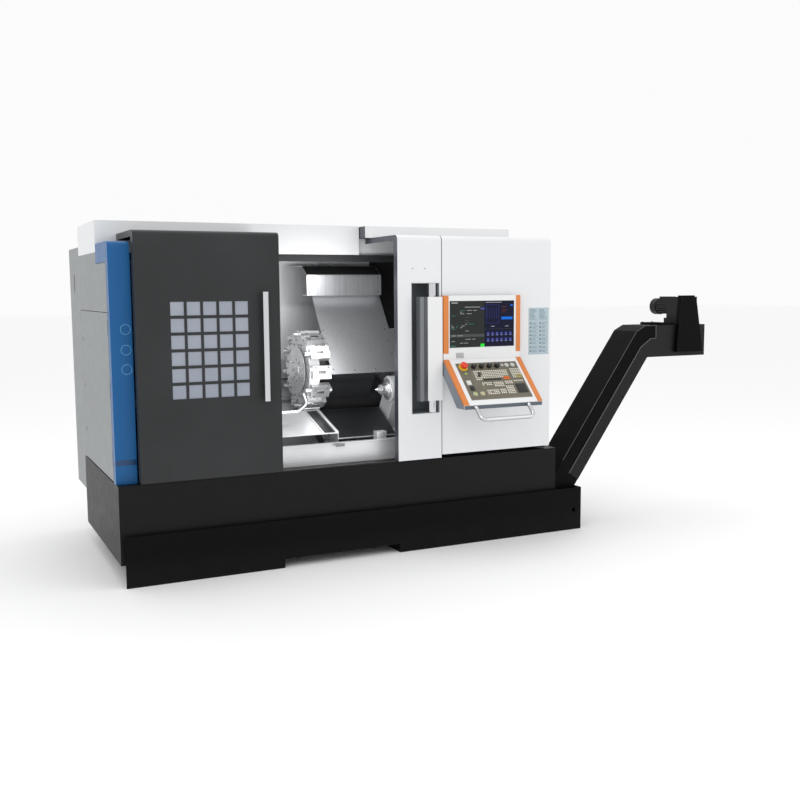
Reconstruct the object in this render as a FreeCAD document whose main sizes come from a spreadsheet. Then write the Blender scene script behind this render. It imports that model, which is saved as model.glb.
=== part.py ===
import FreeCAD, Part
import math
import os
import re
import Sketcher

# Slant-bed turning lathe in millimetres.
# Sizes are written from the left end (X), the front of the base (Y) and the floor (Z).
# Each finished piece is then set back so that the origin lies on the floor under the middle of the base.
DIMS = {
    # base and tank
    "base_length": 2500, "base_depth": 1046, "base_bottom": 107, "base_top": 493, "base_wall": 12,
    "chute_left": 860, "chute_right": 1460, "chute_front": 135, "chute_back": 235,
    "foot_inset": 320, "foot_front": 354, "foot_back": 950, "foot_radius": 60, "foot_height": 22,
    "foot_screw": 15, "tank_left": 400, "tank_right": 2664, "tank_back": 290, "tank_height": 98,
    "tank_tower": 250, "tank_wall": 3, "skirt_front": -30, "skirt_left": 17, "skirt_height": 250,
    "skirt_gap_left": 816, "skirt_gap_right": 1473, "skirt_gap_height": 48, "floor_gap": 4,
    # slant bed, measured along the slant (u) and square to it (n) from the spindle axis
    "spindle_y": 380, "spindle_z": 850, "slant": 30, "bed_left": 290, "bed_right": 2350,
    "bed_front_u": -160, "bed_back_u": 515, "bed_top_n": -290, "bed_core": 60,
    "rail_left": 660, "rail_right": 2300, "rail_height": 35, "rail_half": 17,
    "rail_low_u": 165, "rail_high_u": 485, "tail_rail_left": 1596, "tail_rail_low_u": -105,
    "tail_rail_high_u": 70, "tail_rail_half": 12, "tail_rail_height": 20,
    "screw_u": 325, "screw_n": -272, "screw_radius": 14, "screw_block": 40, "slide_gap": 0.3,
    "fit_running": 0.05,
    # headstock, spindle, chuck and drive
    "head_left": 300, "head_right": 594, "head_half": 150, "spindle_radius": 50, "spindle_bore": 26,
    "spindle_left": 150, "nose_radius": 85, "nose_left": 600, "chuck_left": 620, "chuck_right": 700,
    "chuck_radius": 125, "jaw_width": 36, "jaw_inner": 42, "jaw_outer": 108, "jaw_proud": 45,
    "jaw_slot_depth": 20, "pulley_left": 170, "pulley_right": 250, "spindle_pulley_radius": 100,
    "motor_u": 380, "motor_n": -172, "motor_radius": 105, "motor_left": 300, "motor_right": 590,
    "motor_shaft": 24, "motor_pulley_radius": 60, "belt_thickness": 9, "belt_gap": 0.3,
    # saddle, cross slide and turret
    "saddle_left": 1270, "saddle_right": 1700, "saddle_low_u": 140, "saddle_back_u": 505,
    "saddle_thick": 59, "turret_u": 229, "slide_half": 110, "slide_thick": 54, "turret_half": 95,
    "disc_left": 1125, "disc_thick": 60, "disc_flats": 184, "turret_shaft": 40, "holder_height": 39,
    "holder_width": 74, "holder_left": 1130, "holder_right": 1240, "tool_side": 20, "tool_reach": 3,
    "bar_radius": 12, "bar_end": 1258, "cover_left": 1268, "cover_right": 1765,
    "cover_front": 412, "cover_bottom": 946, "cover_knee": 718, "cover_shelf": 1387, "cover_step": 1190,
    "cover_box_front": 650, "cover_box_top": 1505,
    # tailstock
    "tail_left": 1600, "tail_right": 1900, "tail_radius": 75, "tail_foot_u": 125, "tail_foot_n": -230,
    "quill_radius": 38, "quill_left": 1580, "centre_radius": 25, "centre_left": 1530,
    "centre_shank": 14, "centre_tip": 1515, "centre_shank_end": 1650,
    # sheet-metal guards
    "sheet": 3, "guard_bottom": 500, "guard_top": 1705, "guard_front": -15, "guard_depth": 45,
    "hood_back": 400, "hood_thick": 30, "edge_round": 28, "door_left": 105, "door_right": 820,
    "panel_left": 1474, "panel_seam": 1736, "panel_right": 2443, "seam_gap": 4, "service_bottom": 515,
    "window_left": 271, "window_bottom": 898, "window_pitch_x": 79.5, "window_pitch_z": 80.5,
    "window_square_x": 66, "window_square_z": 66, "window_margin": 16, "window_thick": 6,
    "handle_left": 719, "handle_right": 745, "handle_bottom": 870, "handle_top": 1411,
    "handle_proud": 46, "handle_bar": 20, "handle_post": 30,
    "recess_left": 1555, "recess_right": 1724, "recess_bottom": 748, "recess_top": 1453,
    "recess_depth": 158, "roof_front": 404, "roof_back": 986, "roof_split": 1437,
    "roof_under": 1614, "roof_top": 1773, "roof_right_front": 324, "roof_right_end": 2374,
    "roof_right_top": 1769, "track_height": 38, "track_depth": 34, "column_right": 102,
    "column_front": 55, "column_side": 113, "column_top": 1654, "column_return": 97,
    "side_door_top": 1316, "side_door_thick": 24, "side_door_front": 118, "side_door_back": 984,
    "cabinet_back": 1359, "cabinet_bottom": 301, "cabinet_top": 1662, "cabinet_right": 1000,
    "cabinet_door": 22, "wall_y": 968, "wall_bottom": 885, "chuck_hole": 95,
    "chute_sheet_left": 765, "chute_sheet_right": 1190, "chute_lip_y": 135, "chute_lip_z": 655,
    "chute_rear_y": 440, "chute_rear_z": 749, "sill_y": 117, "sill_top": 609,
    "way_left": 1194, "way_right": 1590, "way_low_u": -230, "way_high_u": 40, "way_n": -155,
    "pipe_radius": 9, "pipe_y": 250, "pipe_z": 769, "pipe_turn_x": 1001, "pipe_rise": 40,
    "pipe_bend": 24,
    # pendant
    "pivot_x": 1690, "pivot_y": 12, "tube_radius": 27, "knuckle_radius": 30, "arm_right": 1719,
    "arm_bottom": 821, "arm_top": 1378, "arm_front": -60, "arm_back": -25,
    "barrel_x": 1596, "barrel_y": -38, "barrel_radius": 22, "bracket_right": 1900,
    "display_left": 1726, "display_right": 2211, "display_top": 1384,
    "display_front": -58, "display_back": -24, "screen_left": 1763, "screen_right": 2172,
    "screen_bottom": 1102, "screen_top": 1355, "screen_thick": 4, "key_length": 318, "key_tilt": 45,
    "key_top": 1038, "key_front": -60, "key_edge": 22, "stop_x": 95, "stop_y": -59,
    "stop_radius": 19, "stop_stem": 11, "stop_high": 26, "knob_first": 157, "knob_pitch": 49,
    "knob_y": -61, "knob_radius": 13, "knob_high": 20, "knob_stem": 4, "button_x": 96,
    "button_y": -247, "button_pitch": 44, "button_radius": 11, "button_high": 7, "button_stem": 6,
    "well_depth": 14, "grip_left": 64, "grip_right": 390, "grip_reach": 84, "grip_radius": 11,
    "grip_bend": 34,
    # chip conveyor
    "conveyor_front": 30, "conveyor_width": 215, "conveyor_left": 830,
    "conveyor_run": 165, "conveyor_foot": 2566, "conveyor_angle": 54.7, "conveyor_deep": 161,
    "conveyor_under": 997, "conveyor_over": 1190, "conveyor_end": 3640, "conveyor_skin": 4,
    "mouth_left": 3400, "mouth_right": 3560, "bend_drop": 33, "bend_run": 66, "shaft_x": 3470,
    "shaft_z": 1094, "shaft_radius": 18, "sprocket_radius": 62, "sprocket_thick": 12,
    "chain_guard_thick": 28, "chain_guard_left": 3396,
    "chain_guard_right": 3604, "chain_guard_foot": 1024, "chain_guard_top": 1371,
    "gear_left": 3462, "gear_right": 3578, "gear_top": 1362,
    "gear_base": 40, "gear_back": 180, "gearmotor_radius": 48, "gearmotor_end": 350,
    "gearmotor_z": 1300, "cowl_radius": 52, "lid_left": 3300, "lid_right": 3395, "lid_thick": 14,
}

DOC = FreeCAD.newDocument("turning_lathe")
SHEET = DOC.addObject("Spreadsheet::Sheet", "dims")
NODES = []
# levels that several pieces share
DISPLAY_BOTTOM = "(key_top + slide_gap)"
CONVEYOR_FLOOR = "(base_bottom + base_wall + slide_gap)"
SADDLE_TOP = "bed_top_n + rail_height + slide_gap + saddle_thick"


def fill_sheet():
    """Write each driving dimension as plain text with its alias."""
    for row, (alias, value) in enumerate(DIMS.items(), 1):
        SHEET.set(f"A{row}", alias)
        SHEET.set(f"B{row}", str(value))
        SHEET.setAlias(f"B{row}", alias)
    DOC.recompute()


def cells(formula):
    """Point the dimension names in a formula at the sheet."""
    return re.sub(r"[a-z][a-z_]*", lambda word: "dims." + word[0] if word[0] in DIMS else word[0],
                  str(formula))


def number(formula):
    """Value of a formula with the present sizes."""
    value = SHEET.evalExpression(cells(formula))
    return float(getattr(value, "Value", value))


def bind(thing, **formulas):
    """Bind properties to formulas; x, y and z are the place."""
    for key, formula in formulas.items():
        target = "Placement.Base." + key if key in "xyz" else key
        thing.setExpression(target, cells(formula))
    return thing


def box(x, y, z):
    """Block between two formulas along each axis."""
    block = DOC.addObject("Part::Box", "block")
    return bind(block, x=x[0], y=y[0], z=z[0], Length=f"({x[1]}) - ({x[0]})",
                Width=f"({y[1]}) - ({y[0]})", Height=f"({z[1]}) - ({z[0]})")


TURNS = {"X": FreeCAD.Rotation(FreeCAD.Vector(0, 1, 0), 90),
         "Y": FreeCAD.Rotation(FreeCAD.Vector(1, 0, 0), -90),
         "Z": FreeCAD.Rotation()}


def rod(axis, centre, radius, span):
    """Cylinder along an axis; centre holds the two other places, in X, Y, Z order."""
    bar = DOC.addObject("Part::Cylinder", "rod")
    bar.Placement = FreeCAD.Placement(FreeCAD.Vector(), TURNS[axis])
    places = list(centre)
    places.insert("XYZ".index(axis), span[0])
    return bind(bar, x=places[0], y=places[1], z=places[2], Radius=radius,
                Height=f"({span[1]}) - ({span[0]})")


def cone(axis, centre, radii, span):
    """Cone along an axis, from the first radius to the second."""
    taper = DOC.addObject("Part::Cone", "cone")
    taper.Placement = FreeCAD.Placement(FreeCAD.Vector(), TURNS[axis])
    places = list(centre)
    places.insert("XYZ".index(axis), span[0])
    return bind(taper, x=places[0], y=places[1], z=places[2], Radius1=radii[0], Radius2=radii[1],
                Height=f"({span[1]}) - ({span[0]})")


PLANES = {"XY": ("XY_Plane", "", False), "XZ": ("XZ_Plane", "-", True), "YZ": ("YZ_Plane", "", False)}


def outline(body, plane, points, start):
    """Closed sketch of straight edges whose corners follow formulas."""
    role, sign, _ = PLANES[plane]
    sketch = body.newObject("Sketcher::SketchObject", "outline")
    sketch.AttachmentSupport = [(next(o for o in body.Origin.OriginFeatures if o.Role == role), "")]
    sketch.MapMode = "FlatFace"
    sketch.setExpression("AttachmentOffset.Base.z", cells(f"{sign}({start})"))
    corners = [FreeCAD.Vector(number(a), number(b), 0) for a, b in points]
    for first, second in zip(corners, corners[1:] + corners[:1]):
        sketch.addGeometry(Part.LineSegment(first, second), False)
    for edge in range(len(points)):
        sketch.addConstraint(Sketcher.Constraint("Coincident", edge, 2, (edge + 1) % len(points), 1))
        for kind, formula in zip(("DistanceX", "DistanceY"), points[edge]):
            tie = sketch.addConstraint(Sketcher.Constraint(kind, -1, 1, edge, 1, number(formula)))
            sketch.setExpression(f"Constraints[{tie}]", cells(formula))
    return sketch


def prism(plane, points, span, rounds=()):
    """Padded outline; rounds lists (corner number, radius) for edges along the pad."""
    body = DOC.addObject("PartDesign::Body", "prism")
    sketch = outline(body, plane, points, span[0])
    pad = body.newObject("PartDesign::Pad", "pad")
    pad.Profile = sketch
    pad.Reversed = PLANES[plane][2]
    pad.setExpression("Length", cells(f"({span[1]}) - ({span[0]})"))
    for corner, radius in rounds:
        round_edge(body, plane, points[corner], radius)
    return body


def round_edge(body, plane, corner, radius):
    """Fillet the padded edge that stands on one corner of the outline."""
    DOC.recompute()
    place = [number(corner[0]), number(corner[1])]
    axes = ["XYZ".index(letter) for letter in plane]
    base = body.Tip
    for count, edge in enumerate(base.Shape.Edges, 1):
        ends = [vertex.Point for vertex in edge.Vertexes]
        if all(abs(end[axis] - value) < 0.01 for end in ends for axis, value in zip(axes, place)):
            name = f"Edge{count}"
            break
    fillet = body.newObject("PartDesign::Fillet", "round")
    fillet.Base = (base, [name])
    fillet.setExpression("Radius", cells(radius))


def fuse(*shapes):
    """Weld shapes into one solid."""
    if len(shapes) == 1:
        return shapes[0]
    weld = DOC.addObject("Part::MultiFuse", "weld")
    weld.Shapes = list(shapes)
    weld.Refine = True
    return weld


def cut(base, *tools):
    """Take tools away from a base."""
    rest = DOC.addObject("Part::Cut", "cut")
    rest.Base = base
    rest.Tool = fuse(*tools)
    return rest


def node(name, *solids):
    """Name a finished piece and set it back to the machine's origin."""
    piece = DOC.addObject("Part::Compound", name)
    piece.Links = list(solids)
    piece.Label = name
    NODES.append(bind(piece, x="-base_length / 2", y="-base_depth / 2"))
    return piece


def slanted(name, *solids):
    """Piece drawn square to the slant bed, with X, u and n from the spindle axis."""
    piece = node(name, *solids)
    piece.Placement = FreeCAD.Placement(FreeCAD.Vector(), FreeCAD.Rotation(FreeCAD.Vector(1, 0, 0), 1))
    piece.setExpression("Placement.Rotation.Angle", cells("slant"))
    return bind(piece, x="-base_length / 2", y="spindle_y - base_depth / 2", z="spindle_z")


def on_keys(name, *solids):
    """Piece drawn on the key face: X along it, Y up its slope, Z square out of it."""
    piece = node(name, *solids)
    piece.Placement = FreeCAD.Placement(FreeCAD.Vector(), FreeCAD.Rotation(FreeCAD.Vector(1, 0, 0), 1))
    piece.setExpression("Placement.Rotation.Angle", cells("key_tilt"))
    return bind(piece, x="display_left - base_length / 2", y="key_front - base_depth / 2", z="key_top")


def across(u, n):
    """Y and Z of a point given along and square to the slant."""
    return (f"spindle_y + ({u}) * cos(slant) - ({n}) * sin(slant)",
            f"spindle_z + ({u}) * sin(slant) + ({n}) * cos(slant)")


# ---------------------------------------------------------------- base

def levelling_feet():
    """Six pads with screws between the floor and the base; the middle front one stands at the origin."""
    feet = []
    ends = ("foot_inset", "base_length - foot_inset")
    corners = [(x, y) for x in ends for y in ("foot_front", "foot_back")]
    middle = "base_length / 2"
    for place in corners + [(middle, "base_depth / 2"), (middle, "foot_back")]:
        pad = rod("Z", place, "foot_radius", ("0", "foot_height"))
        screw = rod("Z", place, "foot_screw", ("foot_height / 2", "base_bottom"))
        feet.append(fuse(pad, screw))
    node("levelling_feet", *feet)


def machine_base():
    """Hollow welded base with a chip hole in its deck and a conveyor tunnel in its right end."""
    shell = box(("0", "base_length"), ("0", "base_depth"), ("base_bottom", "base_top"))
    inside = box(("base_wall", "base_length - base_wall"), ("base_wall", "base_depth - base_wall"),
                 ("base_bottom + base_wall", "base_top - base_wall"))
    chips = box(("chute_left", "chute_right"), ("chute_front", "chute_back"),
                ("base_top - 2 * base_wall", "base_top + base_wall"))
    side = ("conveyor_front - floor_gap", "conveyor_front + conveyor_width + floor_gap")
    slope = "(base_length - conveyor_foot + conveyor_deep / sin(conveyor_angle))"
    tunnel = box(("base_length - 2 * base_wall", "base_length + base_wall"), side,
                 ("base_bottom + base_wall",
                  f"{CONVEYOR_FLOOR} + {slope} * tan(conveyor_angle) + 2 * floor_gap"))
    node("machine_base", cut(shell, inside, chips, tunnel))


def coolant_tank():
    """Low tank under the base, a tall end for the conveyor foot, and the long front skirt."""
    back = ("skirt_front", "tank_back")
    low = box(("tank_left", "tank_right"), back, ("0", "tank_height"))
    tower = box(("base_length + slide_gap", "tank_right"), back, ("0", "tank_tower"))
    skirt = box(("skirt_left", "tank_right"), ("skirt_front", "skirt_front + tank_wall"),
                ("0", "skirt_height"))
    low_room = box(("tank_left + tank_wall", "tank_right - tank_wall"),
                   ("skirt_front + tank_wall", "tank_back - tank_wall"),
                   ("skirt_gap_height + tank_wall", "tank_height + tank_wall"))
    tower_room = box(("base_length + slide_gap + tank_wall", "tank_right - tank_wall"),
                     ("skirt_front + tank_wall", "tank_back - tank_wall"),
                     ("skirt_gap_height + tank_wall", "tank_tower + tank_wall"))
    passage = box(("base_length", "base_length + 2 * floor_gap"),
                  ("conveyor_front - floor_gap", "conveyor_front + conveyor_width + floor_gap"),
                  ("base_bottom", "tank_tower + tank_wall"))
    arch = box(("skirt_gap_left", "skirt_gap_right"), ("skirt_front - tank_wall", "tank_back + tank_wall"),
               ("-tank_wall", "skirt_gap_height"))
    node("coolant_tank", cut(fuse(low, tower, skirt), low_room, tower_room, passage, arch))


def bed_casting():
    """Cast slant bed on the base, cored through its length, with screw bearing blocks."""
    front, front_top = across("bed_front_u", "bed_top_n")
    back, back_top = across("bed_back_u", "bed_top_n")
    block = prism("YZ", [(front, "base_top"), (back, "base_top"), (back, back_top), (front, front_top)],
                  ("bed_left", "bed_right"))
    core_front = f"{front} + 3 * bed_core"
    core_back = f"{back} - bed_core"
    floor = "base_top + bed_core / 2"
    core = prism("YZ", [(core_front, floor), (core_back, floor),
                        (core_back, f"{back_top} - bed_core * tan(slant) - bed_core"),
                        (core_front, f"{front_top} + 3 * bed_core * tan(slant) - bed_core")],
                 ("bed_left - bed_core", "bed_right + bed_core"))
    node("bed_casting", cut(block, core))


def bearing(x_lo, x_hi):
    """Ball-screw bearing block on the bed with a running fit for the screw."""
    block = box((x_lo, x_hi), ("screw_u - screw_block", "screw_u + screw_block"),
                ("bed_top_n", "screw_n + screw_radius + screw_block / 3"))
    return cut(block, rod("X", ("screw_u", "screw_n"), "screw_radius + fit_running",
                          (f"{x_lo} - screw_block", f"{x_hi} + screw_block")))


def guide_rails():
    """Two hardened rails for the saddle, two for the tailstock, and the screw's bearing blocks."""
    rails = [box(("rail_left", "rail_right"), (f"{u} - rail_half", f"{u} + rail_half"),
                 ("bed_top_n", "bed_top_n + rail_height")) for u in ("rail_low_u", "rail_high_u")]
    rails += [box(("tail_rail_left", "rail_right"), (f"{u} - tail_rail_half", f"{u} + tail_rail_half"),
                  ("bed_top_n", "bed_top_n + tail_rail_height"))
              for u in ("tail_rail_low_u", "tail_rail_high_u")]
    rails.append(bearing("rail_left", "rail_left + screw_block"))
    rails.append(bearing("rail_right - screw_block", "rail_right"))
    slanted("guide_rails", *rails)


# ---------------------------------------------------------------- headstock and drive

def headstock():
    """Cast spindle housing bored for the spindle, bolted to the bed's left end."""
    half = "head_half"
    block = prism("YZ", [(f"-{half}", "bed_top_n"), (half, "bed_top_n"), (half, f"{half} * 0.7"),
                         (f"{half} * 0.7", half), (f"-{half} * 0.7", half), (f"-{half}", f"{half} * 0.7")],
                  ("head_left", "head_right"))
    bore = rod("X", ("0", "0"), "spindle_radius + fit_running", ("head_left - 10", "head_right + 10"))
    slanted("headstock", cut(block, bore))


def spindle():
    """Hollow spindle with its nose flange, and the belt pulley keyed on its left end."""
    shaft = rod("X", ("0", "0"), "spindle_radius", ("spindle_left", "chuck_left"))
    nose = rod("X", ("0", "0"), "nose_radius", ("nose_left", "chuck_left"))
    pulley = rod("X", ("0", "0"), "spindle_pulley_radius", ("pulley_left", "pulley_right"))
    bore = rod("X", ("0", "0"), "spindle_bore", ("spindle_left - 10", "chuck_left + 10"))
    slanted("spindle", cut(fuse(shaft, nose, pulley), bore))


def jaw_box(inner, outer, half, lo, hi):
    """Radial block on the chuck, before it is turned to its own place."""
    return box((lo, hi), (f"-({half})", half), (inner, outer))


def turned(shape, angle):
    """Copy of a shape turned about the spindle axis."""
    piece = DOC.addObject("Part::Compound", "turned")
    piece.Links = [shape]
    piece.Placement = FreeCAD.Placement(FreeCAD.Vector(), FreeCAD.Rotation(FreeCAD.Vector(1, 0, 0), angle))
    return piece


def chuck_body():
    """Three-jaw power chuck body with radial jaw slots and a through bore."""
    body = rod("X", ("0", "0"), "chuck_radius", ("chuck_left", "chuck_right"))
    bore = rod("X", ("0", "0"), "spindle_bore", ("chuck_left - 10", "chuck_right + 10"))
    slots = [turned(jaw_box("spindle_bore", "chuck_radius + 5", "jaw_width / 2 + slide_gap",
                            "chuck_right - jaw_slot_depth - slide_gap", "chuck_right + 5"), angle)
             for angle in (0, 120, 240)]
    slanted("chuck_body", cut(body, bore, *slots))


def chuck_jaws():
    """Three hard jaws, each stepped once, that slide in the chuck's slots."""
    for count, angle in enumerate((0, 120, 240), 1):
        base = jaw_box("jaw_inner", "jaw_outer", "jaw_width / 2", "chuck_right - jaw_slot_depth",
                       "chuck_right + jaw_proud / 2")
        step = jaw_box("jaw_inner", "(jaw_inner + jaw_outer) / 2", "jaw_width / 2",
                       "chuck_right + jaw_proud / 3", "chuck_right + jaw_proud")
        slanted(f"chuck_jaw_{count}", turned(fuse(base, step), angle))


def spindle_motor():
    """Spindle motor on the bed behind the headstock, bored for its shaft."""
    can = rod("X", ("motor_u", "motor_n"), "motor_radius", ("motor_left", "motor_right"))
    foot = box(("motor_left", "motor_right"), ("motor_u - motor_radius", "motor_u + motor_radius"),
               ("bed_top_n", "motor_n"))
    bore = rod("X", ("motor_u", "motor_n"), "motor_shaft + fit_running",
               ("motor_left - 10", "motor_left + 60"))
    slanted("spindle_motor", cut(fuse(can, foot), bore))


def motor_pulley():
    """Motor shaft with the small belt pulley."""
    wheel = rod("X", ("motor_u", "motor_n"), "motor_pulley_radius", ("pulley_left", "pulley_right"))
    shaft = rod("X", ("motor_u", "motor_n"), "motor_shaft", ("pulley_left", "motor_left + 60"))
    slanted("motor_pulley", fuse(wheel, shaft))


def belt_wire(grow):
    """Two arcs and two tangents round both pulleys, grown outwards by a distance."""
    big = DIMS["spindle_pulley_radius"] + grow
    small = DIMS["motor_pulley_radius"] + grow
    across = math.hypot(DIMS["motor_u"], DIMS["motor_n"])
    aim = math.atan2(DIMS["motor_n"], DIMS["motor_u"])
    lean = math.acos((big - small) / across)
    points = []
    for centre, radius, turns in (((0, 0), big, (lean, math.pi, 2 * math.pi - lean)),
                                  ((DIMS["motor_u"], DIMS["motor_n"]), small, (-lean, 0, lean))):
        points.append([FreeCAD.Vector(DIMS["pulley_left"], centre[0] + radius * math.cos(aim + turn),
                                      centre[1] + radius * math.sin(aim + turn)) for turn in turns])
    edges = [Part.Arc(*points[0]).toShape(), Part.makeLine(points[0][2], points[1][0]),
             Part.Arc(*points[1]).toShape(), Part.makeLine(points[1][2], points[0][0])]
    return Part.Wire(edges)


def drive_belt():
    """Endless belt round the motor and spindle pulleys."""
    outer = Part.Face(belt_wire(DIMS["belt_gap"] + DIMS["belt_thickness"]))
    ring = outer.cut(Part.Face(belt_wire(DIMS["belt_gap"])))
    belt = DOC.addObject("Part::Feature", "belt_loop")
    belt.Shape = ring.extrude(FreeCAD.Vector(DIMS["pulley_right"] - DIMS["pulley_left"], 0, 0))
    slanted("drive_belt", belt)


# ---------------------------------------------------------------- slides and turret

def z_ballscrew():
    """Ball screw along the bed, with its coupling collar at the left bearing."""
    screw = rod("X", ("screw_u", "screw_n"), "screw_radius", ("rail_left - 20", "rail_right + 10"))
    slanted("z_ballscrew", screw)


def saddle():
    """Saddle plate on the rails with the ball nut under it."""
    bottom = "bed_top_n + rail_height + slide_gap"
    plate = box(("saddle_left", "saddle_right"), ("saddle_low_u", "saddle_back_u"),
                (bottom, f"{bottom} + saddle_thick"))
    nut = box(("saddle_left + 60", "saddle_left + 160"), ("screw_u - screw_block", "screw_u + screw_block"),
              ("bed_top_n + 2", f"{bottom} + 1"))
    hole = rod("X", ("screw_u", "screw_n"), "screw_radius + fit_running", ("saddle_left", "saddle_right"))
    slanted("saddle", cut(fuse(plate, nut), hole))


def cross_slide():
    """Cross slide that carries the turret up and down the slant."""
    slanted("cross_slide", box(("saddle_left + 4", "saddle_right - 10"),
                               ("turret_u - slide_half", "turret_u + slide_half"),
                               (f"{SADDLE_TOP} + slide_gap", f"{SADDLE_TOP} + slide_gap + slide_thick")))


def turret_housing():
    """Indexing head: a round housing on a foot, bored for the turret shaft."""
    barrel = rod("X", ("turret_u", "0"), "turret_half", ("disc_left + disc_thick + 1", "saddle_right - 130"))
    foot = box(("saddle_left + 4", "saddle_right - 130"),
               ("turret_u - turret_half + 8", "turret_u + turret_half - 8"),
               (f"{SADDLE_TOP} + slide_gap + slide_thick", "0"))
    bore = rod("X", ("turret_u", "0"), "turret_shaft + fit_running",
               ("disc_left + disc_thick - 5", "saddle_left + 60"))
    slanted("turret_housing", cut(fuse(barrel, foot), bore))


def turret_disc():
    """Twelve-sided turret disc with its shaft and a round hub cap."""
    points = [(f"turret_u + disc_flats / cos(15) * cos({30 * side + 15})",
               f"disc_flats / cos(15) * sin({30 * side + 15})") for side in range(12)]
    disc = prism("YZ", points, ("disc_left", "disc_left + disc_thick"))
    shaft = rod("X", ("turret_u", "0"), "turret_shaft", ("disc_left", "saddle_left + 60"))
    cap = rod("X", ("turret_u", "0"), "turret_shaft", ("disc_left - 8", "disc_left + 1"))
    slanted("turret_disc", fuse(disc, shaft, cap))


def station(angle, shapes):
    """Holder shapes of one station, turned round the turret axis."""
    piece = DOC.addObject("Part::Compound", "station")
    piece.Links = shapes
    turn = FreeCAD.Rotation(FreeCAD.Vector(1, 0, 0), angle)
    piece.Placement = FreeCAD.Placement(FreeCAD.Vector(), turn)
    return bind(piece, y="turret_u", z="0")


def tool_holders():
    """Twelve bolted tool blocks, by turns with a square turning tool or a round boring bar."""
    holders = []
    low = "disc_flats + slide_gap / 3"
    high = f"{low} + holder_height"
    half = "holder_width / 2"
    for side in range(12):
        block = box(("holder_left", "holder_right"), (f"-{half}", half), (low, high))
        middle = f"{low} + holder_height / 2"
        if side % 2:
            tool = rod("X", ("0", middle), "bar_radius", ("holder_left - 30", "bar_end"))
        else:
            tool = box(("holder_left - 18", "holder_left + 30"), (f"{half} - tool_side - 8", f"{half} - 8"),
                       (f"{high} - tool_side", f"{high} + tool_reach - slide_gap"))
        holders.append(station(30 * side, [fuse(block, tool)]))
    slanted("tool_holders", *holders)


def saddle_cover():
    """Stainless cover that travels with the saddle: sloped sheet, upper box and right end plate."""
    low = ("cover_front", "cover_bottom")
    high = ("cover_knee", "cover_shelf + sheet")
    slope = "((cover_shelf + sheet - cover_bottom) / (cover_knee - cover_front))"
    bend = ("cover_front + (cover_step - cover_bottom) / " + slope, "cover_step")
    narrow = prism("YZ", [low, high, ("cover_knee + sheet", high[1]), ("cover_front + sheet", low[1])],
                   ("cover_left", "saddle_right"))
    wide = prism("YZ", [low, bend, (f"{bend[0]} + sheet", bend[1]), ("cover_front + sheet", low[1])],
                 ("cover_left", "cover_right"))
    box_front = "cover_box_front"
    top = "cover_box_top"
    rear = "cover_knee + 180"
    inner_front, peak = f"{box_front} + sheet", f"{top} + 52"
    hood = prism("YZ", [(box_front, "cover_shelf"), ("cover_knee + sheet", "cover_shelf"),
                        ("cover_knee + sheet", high[1]), (inner_front, high[1]),
                        (inner_front, f"{top} - 1"), (f"{box_front} + 84", peak), (rear, peak),
                        (rear, f"{peak} + sheet"), (f"{box_front} + 83", f"{peak} + sheet"),
                        (box_front, f"{top} + 1")], ("cover_left - 55", "saddle_right - 15"))
    foot = "bed_top_n + rail_height + 20"
    end = prism("YZ", [("cover_front + 40 + sheet / 2", f"cover_bottom + 40 * {slope}"),
                       ("cover_knee + sheet / 2", high[1]), across("saddle_back_u + 40", "120"),
                       across("saddle_back_u", "60"), across("saddle_back_u", foot),
                       across("saddle_low_u", foot)],
                ("saddle_right - sheet / 2", "saddle_right + sheet / 2"))
    notch = box(("saddle_right - sheet", "saddle_right"), ("0", "base_depth"), ("0", "cover_bottom + 30"))
    node("saddle_cover", fuse(narrow, wide, hood, cut(end, notch)))


# ---------------------------------------------------------------- tailstock

def tailstock_body():
    """Cast tailstock: round quill housing, column and foot on its own rails."""
    barrel = rod("X", ("0", "0"), "tail_radius", ("tail_left", "tail_right"))
    column = box(("tail_left + 10", "tail_right - 20"), ("-tail_radius + 6", "tail_radius - 6"),
                 ("tail_foot_n - 5", "0"))
    foot = box(("tail_left", "tail_right"), ("-tail_foot_u", "tail_foot_u * 0.75"),
               ("bed_top_n + tail_rail_height + slide_gap", "tail_foot_n"))
    bore = rod("X", ("0", "0"), "quill_radius + fit_running", ("tail_left - 5", "tail_right - 20"))
    slanted("tailstock_body", cut(fuse(barrel, column, foot), bore))


def tailstock_quill():
    """Quill that slides out of the tailstock, bored for the centre's shank."""
    sleeve = rod("X", ("0", "0"), "quill_radius", ("quill_left", "tail_right - 80"))
    bore = rod("X", ("0", "0"), "centre_shank + fit_running",
               ("quill_left - 5", "centre_shank_end + 5"))
    slanted("tailstock_quill", cut(sleeve, bore))


def live_centre():
    """Live centre with its 60 degree point, body and shank."""
    body = rod("X", ("0", "0"), "centre_radius", ("centre_left + 14", "quill_left - 1"))
    neck = cone("X", ("0", "0"), ("9", "centre_radius"), ("centre_left", "centre_left + 14"))
    point = cone("X", ("0", "0"), ("0.4", "9"), ("centre_tip", "centre_left"))
    shank = rod("X", ("0", "0"), "centre_shank", ("quill_left - 2", "centre_shank_end"))
    slanted("live_centre", fuse(body, neck, point, shank))


# ---------------------------------------------------------------- work area sheets

def headstock_guard():
    """Stainless wall between the headstock and the work area, holed for the spindle nose."""
    wall = box(("nose_left - sheet - 1", "nose_left - 1"), ("sill_y", "wall_y"),
               ("base_top", "roof_under - track_height - 2 * slide_gap"))
    hole = rod("X", ("spindle_y", "spindle_z"), "chuck_hole", ("nose_left - 20", "nose_left + 20"))
    corner = prism("YZ", [("370", "base_top - 1"), ("wall_y + 1", "base_top - 1"),
                          ("wall_y + 1", "wall_bottom"),
                          ("370", "wall_bottom - (wall_y + 1 - 370) * tan(slant)")],
                   ("nose_left - 20", "nose_left + 20"))
    node("headstock_guard", cut(wall, hole, corner))


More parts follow.
